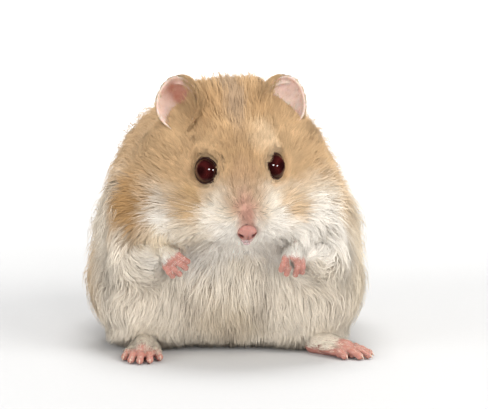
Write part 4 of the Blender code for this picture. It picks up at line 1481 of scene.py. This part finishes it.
# %% Hands
FINGERS = ((-1.62, 2.0, -10), (-0.60, 2.6, -5), (0.62, 2.5, 5), (1.62, 1.9, 11))
PALM_LENGTH = 2.3
CLAW_LENGTH = 0.9
hands = {}
for side in SIDES:
    aim, twist = HAND_AIM[side]
    along = unit(np.array(aim, float))
    across = unit(np.cross((0, -1, 0.25), along))
    axes = np.stack([along, across, np.cross(along, across)], 1)
    axes = axes @ np.array(Matrix.Rotation(math.radians(twist), 3, "X"))
    wrist = pose_origin + FORELEG[side][-1]

    def at(x, y, z):
        return wrist + axes @ np.array([x, y, z], float)

    balls = string([at(-0.5, 0, 0), at(0.4, 0, 0), at(1.5, 0, 0.05)], (1.2, 1.3, 1.5), 0.3)
    for across_palm in (-1.0, 0.0, 1.0):
        balls += string([at(0.6, across_palm, -0.25), at(1.7, across_palm * 1.1, -0.35)], (0.95, 0.9))
    balls += string([at(1.7, -1.2, -0.1), at(2.2, 0, -0.1), at(1.7, 1.2, -0.1)], (0.85, 0.75, 0.85), 0.3)
    balls += string([at(1.4, 0, 0), at(2.6, 0, 0)], (1.2, 0.85), 0.3)
    balls += string([at(0.6, 1.4, -0.5), at(1.4, 2.0, -0.9)], (0.6, 0.42))
    claws = []
    for start, length, spread in FINGERS:
        forward = np.array([math.cos(math.radians(spread)), math.sin(math.radians(spread)), 0])
        down = np.array([0, 0, -1.0])
        knuckle = np.array([PALM_LENGTH, start, 0.25])
        bend = knuckle + forward * length * 0.55 + down * length * 0.10
        tip = bend + forward * length * 0.40 + down * length * 0.42
        root = np.array([0.4, start * 0.55, 0.1])
        stops = [root, (root + knuckle) / 2, knuckle, (knuckle + bend) / 2, bend, (bend + tip) / 2, tip]
        balls += string([at(*stop) for stop in stops], (0.74, 0.66, 0.66, 0.53, 0.60, 0.50, 0.56))
        point = tip + unit(0.45 * forward + 0.9 * down) * CLAW_LENGTH
        begin = tip + unit(0.8 * forward + 0.3 * down) * 0.2 + (0, 0, 0.12)
        claws.append(claw_mesh(at(*begin), at(*point), axes @ (forward * 0.16 + (0, 0, 0.08)), 0.26))
    hand = fuse_balls("hand_" + side, balls, 0.12)
    finish_piece(hand, "skin_pink", "forepaw_" + side)
    finish_piece(join_meshes("hand_claws_" + side, claws, horn_paint), "skin_pink")
    hands[side] = (*read_mesh(hand.data), axes, wrist)
    print("hand", side, "triangles", len(hands[side][1]))

# %% Feet
FOOT_PLACE = {"left": ((14.9, -15.4, 0), 56), "right": ((-15.2, -14.6, 0), -4)}
FOOT_SOLE = ((1.4, 1.5, 1.75), (5.0, 1.6, 1.95), (8.4, 1.35, 1.8))  # along, height, radius
TOES = (  # across, where it starts, length, spread
    (-2.35, 7.6, 2.6, -17),
    (-1.30, 9.2, 3.5, -7),
    (0.0, 9.6, 3.8, 0),
    (1.30, 9.2, 3.4, 8),
    (2.35, 7.4, 2.7, 20),
)
TOE_SHAPE = (  # share of the length, height, radius
    (0, 1.20, 0.80),
    (0.26, 1.34, 0.66),
    (0.50, 1.40, 0.74),
    (0.74, 1.10, 0.60),
    (0.96, 0.78, 0.70),
)


def foot_point(side, x, y, z):
    """A place on the foot: x from the heel towards the toes, y across, z above the floor."""
    heel, angle = FOOT_PLACE[side]
    turn = math.radians(angle - 90)
    forward = np.array([math.cos(turn), math.sin(turn), 0])
    across = np.array([-forward[1], forward[0], 0])
    return pose_origin + heel + forward * x + across * y + np.array([0, 0, float(z)])


feet = {}
for side in SIDES:
    balls = string([foot_point(side, x, 0, z) for x, z, _ in FOOT_SOLE], [r for _, _, r in FOOT_SOLE], 0.4)
    turn = np.array(Matrix.Rotation(math.radians(FOOT_PLACE[side][1] - 90), 3, "Z"))
    balls.append((foot_point(side, 8.2, 0, 1.25), turn * np.array([2.4, 2.9, 1.25])))
    claws = []
    for across_foot, start, length, spread in TOES:
        lean = math.tan(math.radians(spread))
        stops = [foot_point(side, start - 3, across_foot * 0.7, 1.5)]
        for share, z, _ in TOE_SHAPE:
            reach = length * share
            stops.append(foot_point(side, start + reach, across_foot + reach * lean, z))
        balls += string(stops, [0.9] + [radius for _, _, radius in TOE_SHAPE])
        reach = length * 0.96
        for x, z, size in ((0.45, 0.62, 0.5), (1.0, 0.56, 0.5)):
            place = foot_point(side, start + reach * x, across_foot + reach * x * lean, z)
            balls.append((place, turn * np.array([size * 1.15, size, size * 0.9])))
        begin = foot_point(side, start + reach + 0.30, across_foot + (reach + 0.3) * lean, 0.98)
        end = foot_point(side, start + reach + 1.0, across_foot + (reach + 1.0) * lean, 0.24)
        claws.append(claw_mesh(begin, end, np.array([0, 0, 0.16]), 0.27))
    foot = fuse_balls("foot_" + side, balls, 0.15)
    points, triangles = read_mesh(foot.data)
    points[:, 2] = np.maximum(points[:, 2], 0.02)
    foot.data.vertices.foreach_set("co", (points * MM).astype(np.float32).ravel())
    foot.data.update()
    finish_piece(foot, "skin_pink", "hindfoot_" + side)
    finish_piece(join_meshes("foot_claws_" + side, claws, horn_paint), "skin_pink")
    feet[side] = (points, triangles)
    print("foot", side, "triangles", len(triangles))

# %% [markdown]
# ## Small hair
# Ears, hands and feet carry the finest hair of all: a pale down that hides little of the skin. It
# is combed and built with the same two steps as the coat, from its own short list of lengths.

# %% Grow down on a small part
def grow_down(name, hide, number, sparse, gather=0.35, flyaway=0.05, tone=1.0):
    """Tufts on a part of its own. Sparse says how thickly they stand at each point."""
    hide.scatter(number, hide.areas * sparse[hide.triangles].mean(1))
    tufts = comb(hide, gather=gather, longer=1.0, flyaway=flyaway)
    tufts["tone"] *= tone
    tufts["tip"][:, 2] = np.maximum(tufts["tip"][:, 2], LOWEST_HAIR)
    paper = unwrap(hide.points, hide.triangles, closed=True)
    coat_piece(name, hide, tufts, np.arange(number), paper, coat_paint)


# %% Down on the ears
DOWN_ON_EAR = 8000
for side, (points, triangles, axes, seat) in ears.items():
    local = (points - seat) @ axes
    normals = normals_of(points, triangles)
    inside = (local / EAR_RADII * ((normals @ axes) / EAR_RADII)).sum(1) < 0
    rim_share = smoothstep(0.8, -0.1, local[:, 1] / EAR_RADII[1])
    towards_middle = -SIDES[side] * local[:, 0] / EAR_RADII[0]
    inner_edge = smoothstep(0.15, 0.7, towards_middle + 0.3 * smoothstep(-2, -5, local[:, 2]))
    up_and_out = unit(local * (1, 0.0, 1) + (0, 0, 2.5))
    up_and_out += inner_edge[:, None] * (SIDES[side] * 0.5, -0.6, 0.3)
    lie = unit(up_and_out) @ axes.T
    length = np.where(inside, 1.1, 1.7) * (1 - 0.35 * rim_share) + 1.0 * inner_edge
    depth = np.where(inside, 0.16, 0.30) + 0.25 * inner_edge
    width = np.where(inside, 0.05, 0.075) + 0.06 * inner_edge
    sparse = np.where(inside, 0.10 + 0.25 * rim_share + 0.9 * inner_edge, 1.0 + 2.0 * inner_edge)
    ear = Hide(points, triangles, lie, length, depth, width)
    ear.shade_normals = unit(normals + inner_edge[:, None] * (0, -1.0, 0.8))
    grow_down("coat_ear_" + side, ear, DOWN_ON_EAR, sparse)

# %% Down on hands and feet
DOWN_ON_HAND, DOWN_ON_FOOT = 1200, 4000
FOOT_FUR = {"left": (9.0, 3.0), "right": (11.5, 5.0)}  # from the heel: where it ends, where it is full
for side, (points, triangles, axes, wrist) in hands.items():
    along_hand = ((points - wrist) @ axes)[:, 0]
    normals = normals_of(points, triangles)
    back = smoothstep(-0.5, 0.5, normals @ axes[:, 2])
    near_wrist = smoothstep(2.2, -0.3, along_hand)
    lie = np.tile(axes[:, 0], (len(points), 1))
    length, depth = 0.5 + 1.5 * near_wrist, 0.08 + 0.3 * near_wrist
    hand = Hide(points, triangles, lie, length, depth, 0.05 + 0.05 * near_wrist)
    share = (0.10 + back) * (0.08 + 1.2 * near_wrist**2)
    # The down on the hands is painted a tenth darker: painted shade, as the hands face the lamps more than
    # the fur around them.
    grow_down("coat_hand_" + side, hand, DOWN_ON_HAND, share, 0.4, tone=0.9)
for side, (points, triangles) in feet.items():
    heel, toes = foot_point(side, 0, 0, 0), foot_point(side, 14, 0, 0)
    forward = unit(toes - heel)
    along_foot = (points - heel) @ forward
    normals = normals_of(points, triangles)
    top = smoothstep(-0.25, 0.45, normals[:, 2])
    near_heel = smoothstep(*FOOT_FUR[side], along_foot)
    lie = np.tile(forward, (len(points), 1))
    length, depth = 0.6 + 1.3 * near_heel, 0.10 + 0.35 * near_heel
    foot = Hide(points, triangles, lie, length, depth, 0.055 + 0.06 * near_heel)
    share = top * (0.22 + near_heel)
    grow_down("coat_foot_" + side, foot, DOWN_ON_FOOT, share, flyaway=0.03)

# %% [markdown]
# ## Whiskers
# Whiskers are stiff single hairs that feel the way in the dark. They stand in rows on the pads
# beside the nose, point out and back, and taper to nothing. Most are pale, a few are dark.

# %% Whiskers
WHISKER_RINGS, WHISKER_SIDES = 9, 4
WHISKER_RADIUS = 0.018
WHISKER_ROWS, WHISKERS_IN_ROW = 4, 4
DARK_WHISKERS = 0.1
whisker_paint, tree, surface = new_material("whisker_paint", 0.35, 0.5)
dark = value_in(tree, "dark")
whisker_colour = mix_colours(tree, dark, (0.90, 0.84, 0.76, 1), (0.20, 0.12, 0.08, 1))
tree.links.new(whisker_colour, surface.inputs["Base Color"])
whiskers, shades = [], []
for sign in SIDES.values():
    for row in range(WHISKER_ROWS):
        for place in range(WHISKERS_IN_ROW):
            back = place / (WHISKERS_IN_ROW - 1)
            root = head_point(sign * (3.0 + 2.2 * back), -17.2 + 1.8 * back, -7.2 - 1.05 * row + 0.5 * back)
            length = (6.5 + 8.5 * back) * rng.uniform(0.8, 1.15)
            aim = np.array([sign * 1.0, -0.35 + 0.55 * back, 0.42 - 0.36 * row + rng.normal(0, 0.07)])
            aim = head_turn @ unit(aim)
            sag = head_turn @ np.array([0, 0.16, -0.10]) * length
            share = np.linspace(0, 1, WHISKER_RINGS)[:, None]
            spine = root + aim * length * share + sag * share**2
            size = WHISKER_RADIUS * (1 - 0.85 * share[:, 0])
            along = unit(np.gradient(spine, axis=0))
            side = unit(np.cross(along, (0, 0, 1.0)))
            up = np.cross(side, along)
            turns = full_turn(WHISKER_SIDES)
            rings = spine[:, None] + size[:, None, None] * (
                side[:, None] * np.cos(turns)[None, :, None] + up[:, None] * np.sin(turns)[None, :, None]
            )
            ends = (spine[:1] - aim * 0.3, spine[-1:] + along[-1:] * 0.1)
            points = np.concatenate([rings.reshape(-1, 3), *ends])
            whiskers.append((points, cover_rings(WHISKER_RINGS, WHISKER_SIDES)[:, ::-1]))
            shades.append(np.full(len(points), float(rng.random() < DARK_WHISKERS)))
piece = join_meshes("whiskers", whiskers, whisker_paint)
add_values(piece.data, "dark", np.concatenate(shades))
finish_piece(piece, "fur_cream")
print("whiskers:", len(whiskers))

# %% Size of the finished model
low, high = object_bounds()
print("finished model, mm:", [round(s / MM, 1) for s in high - low])
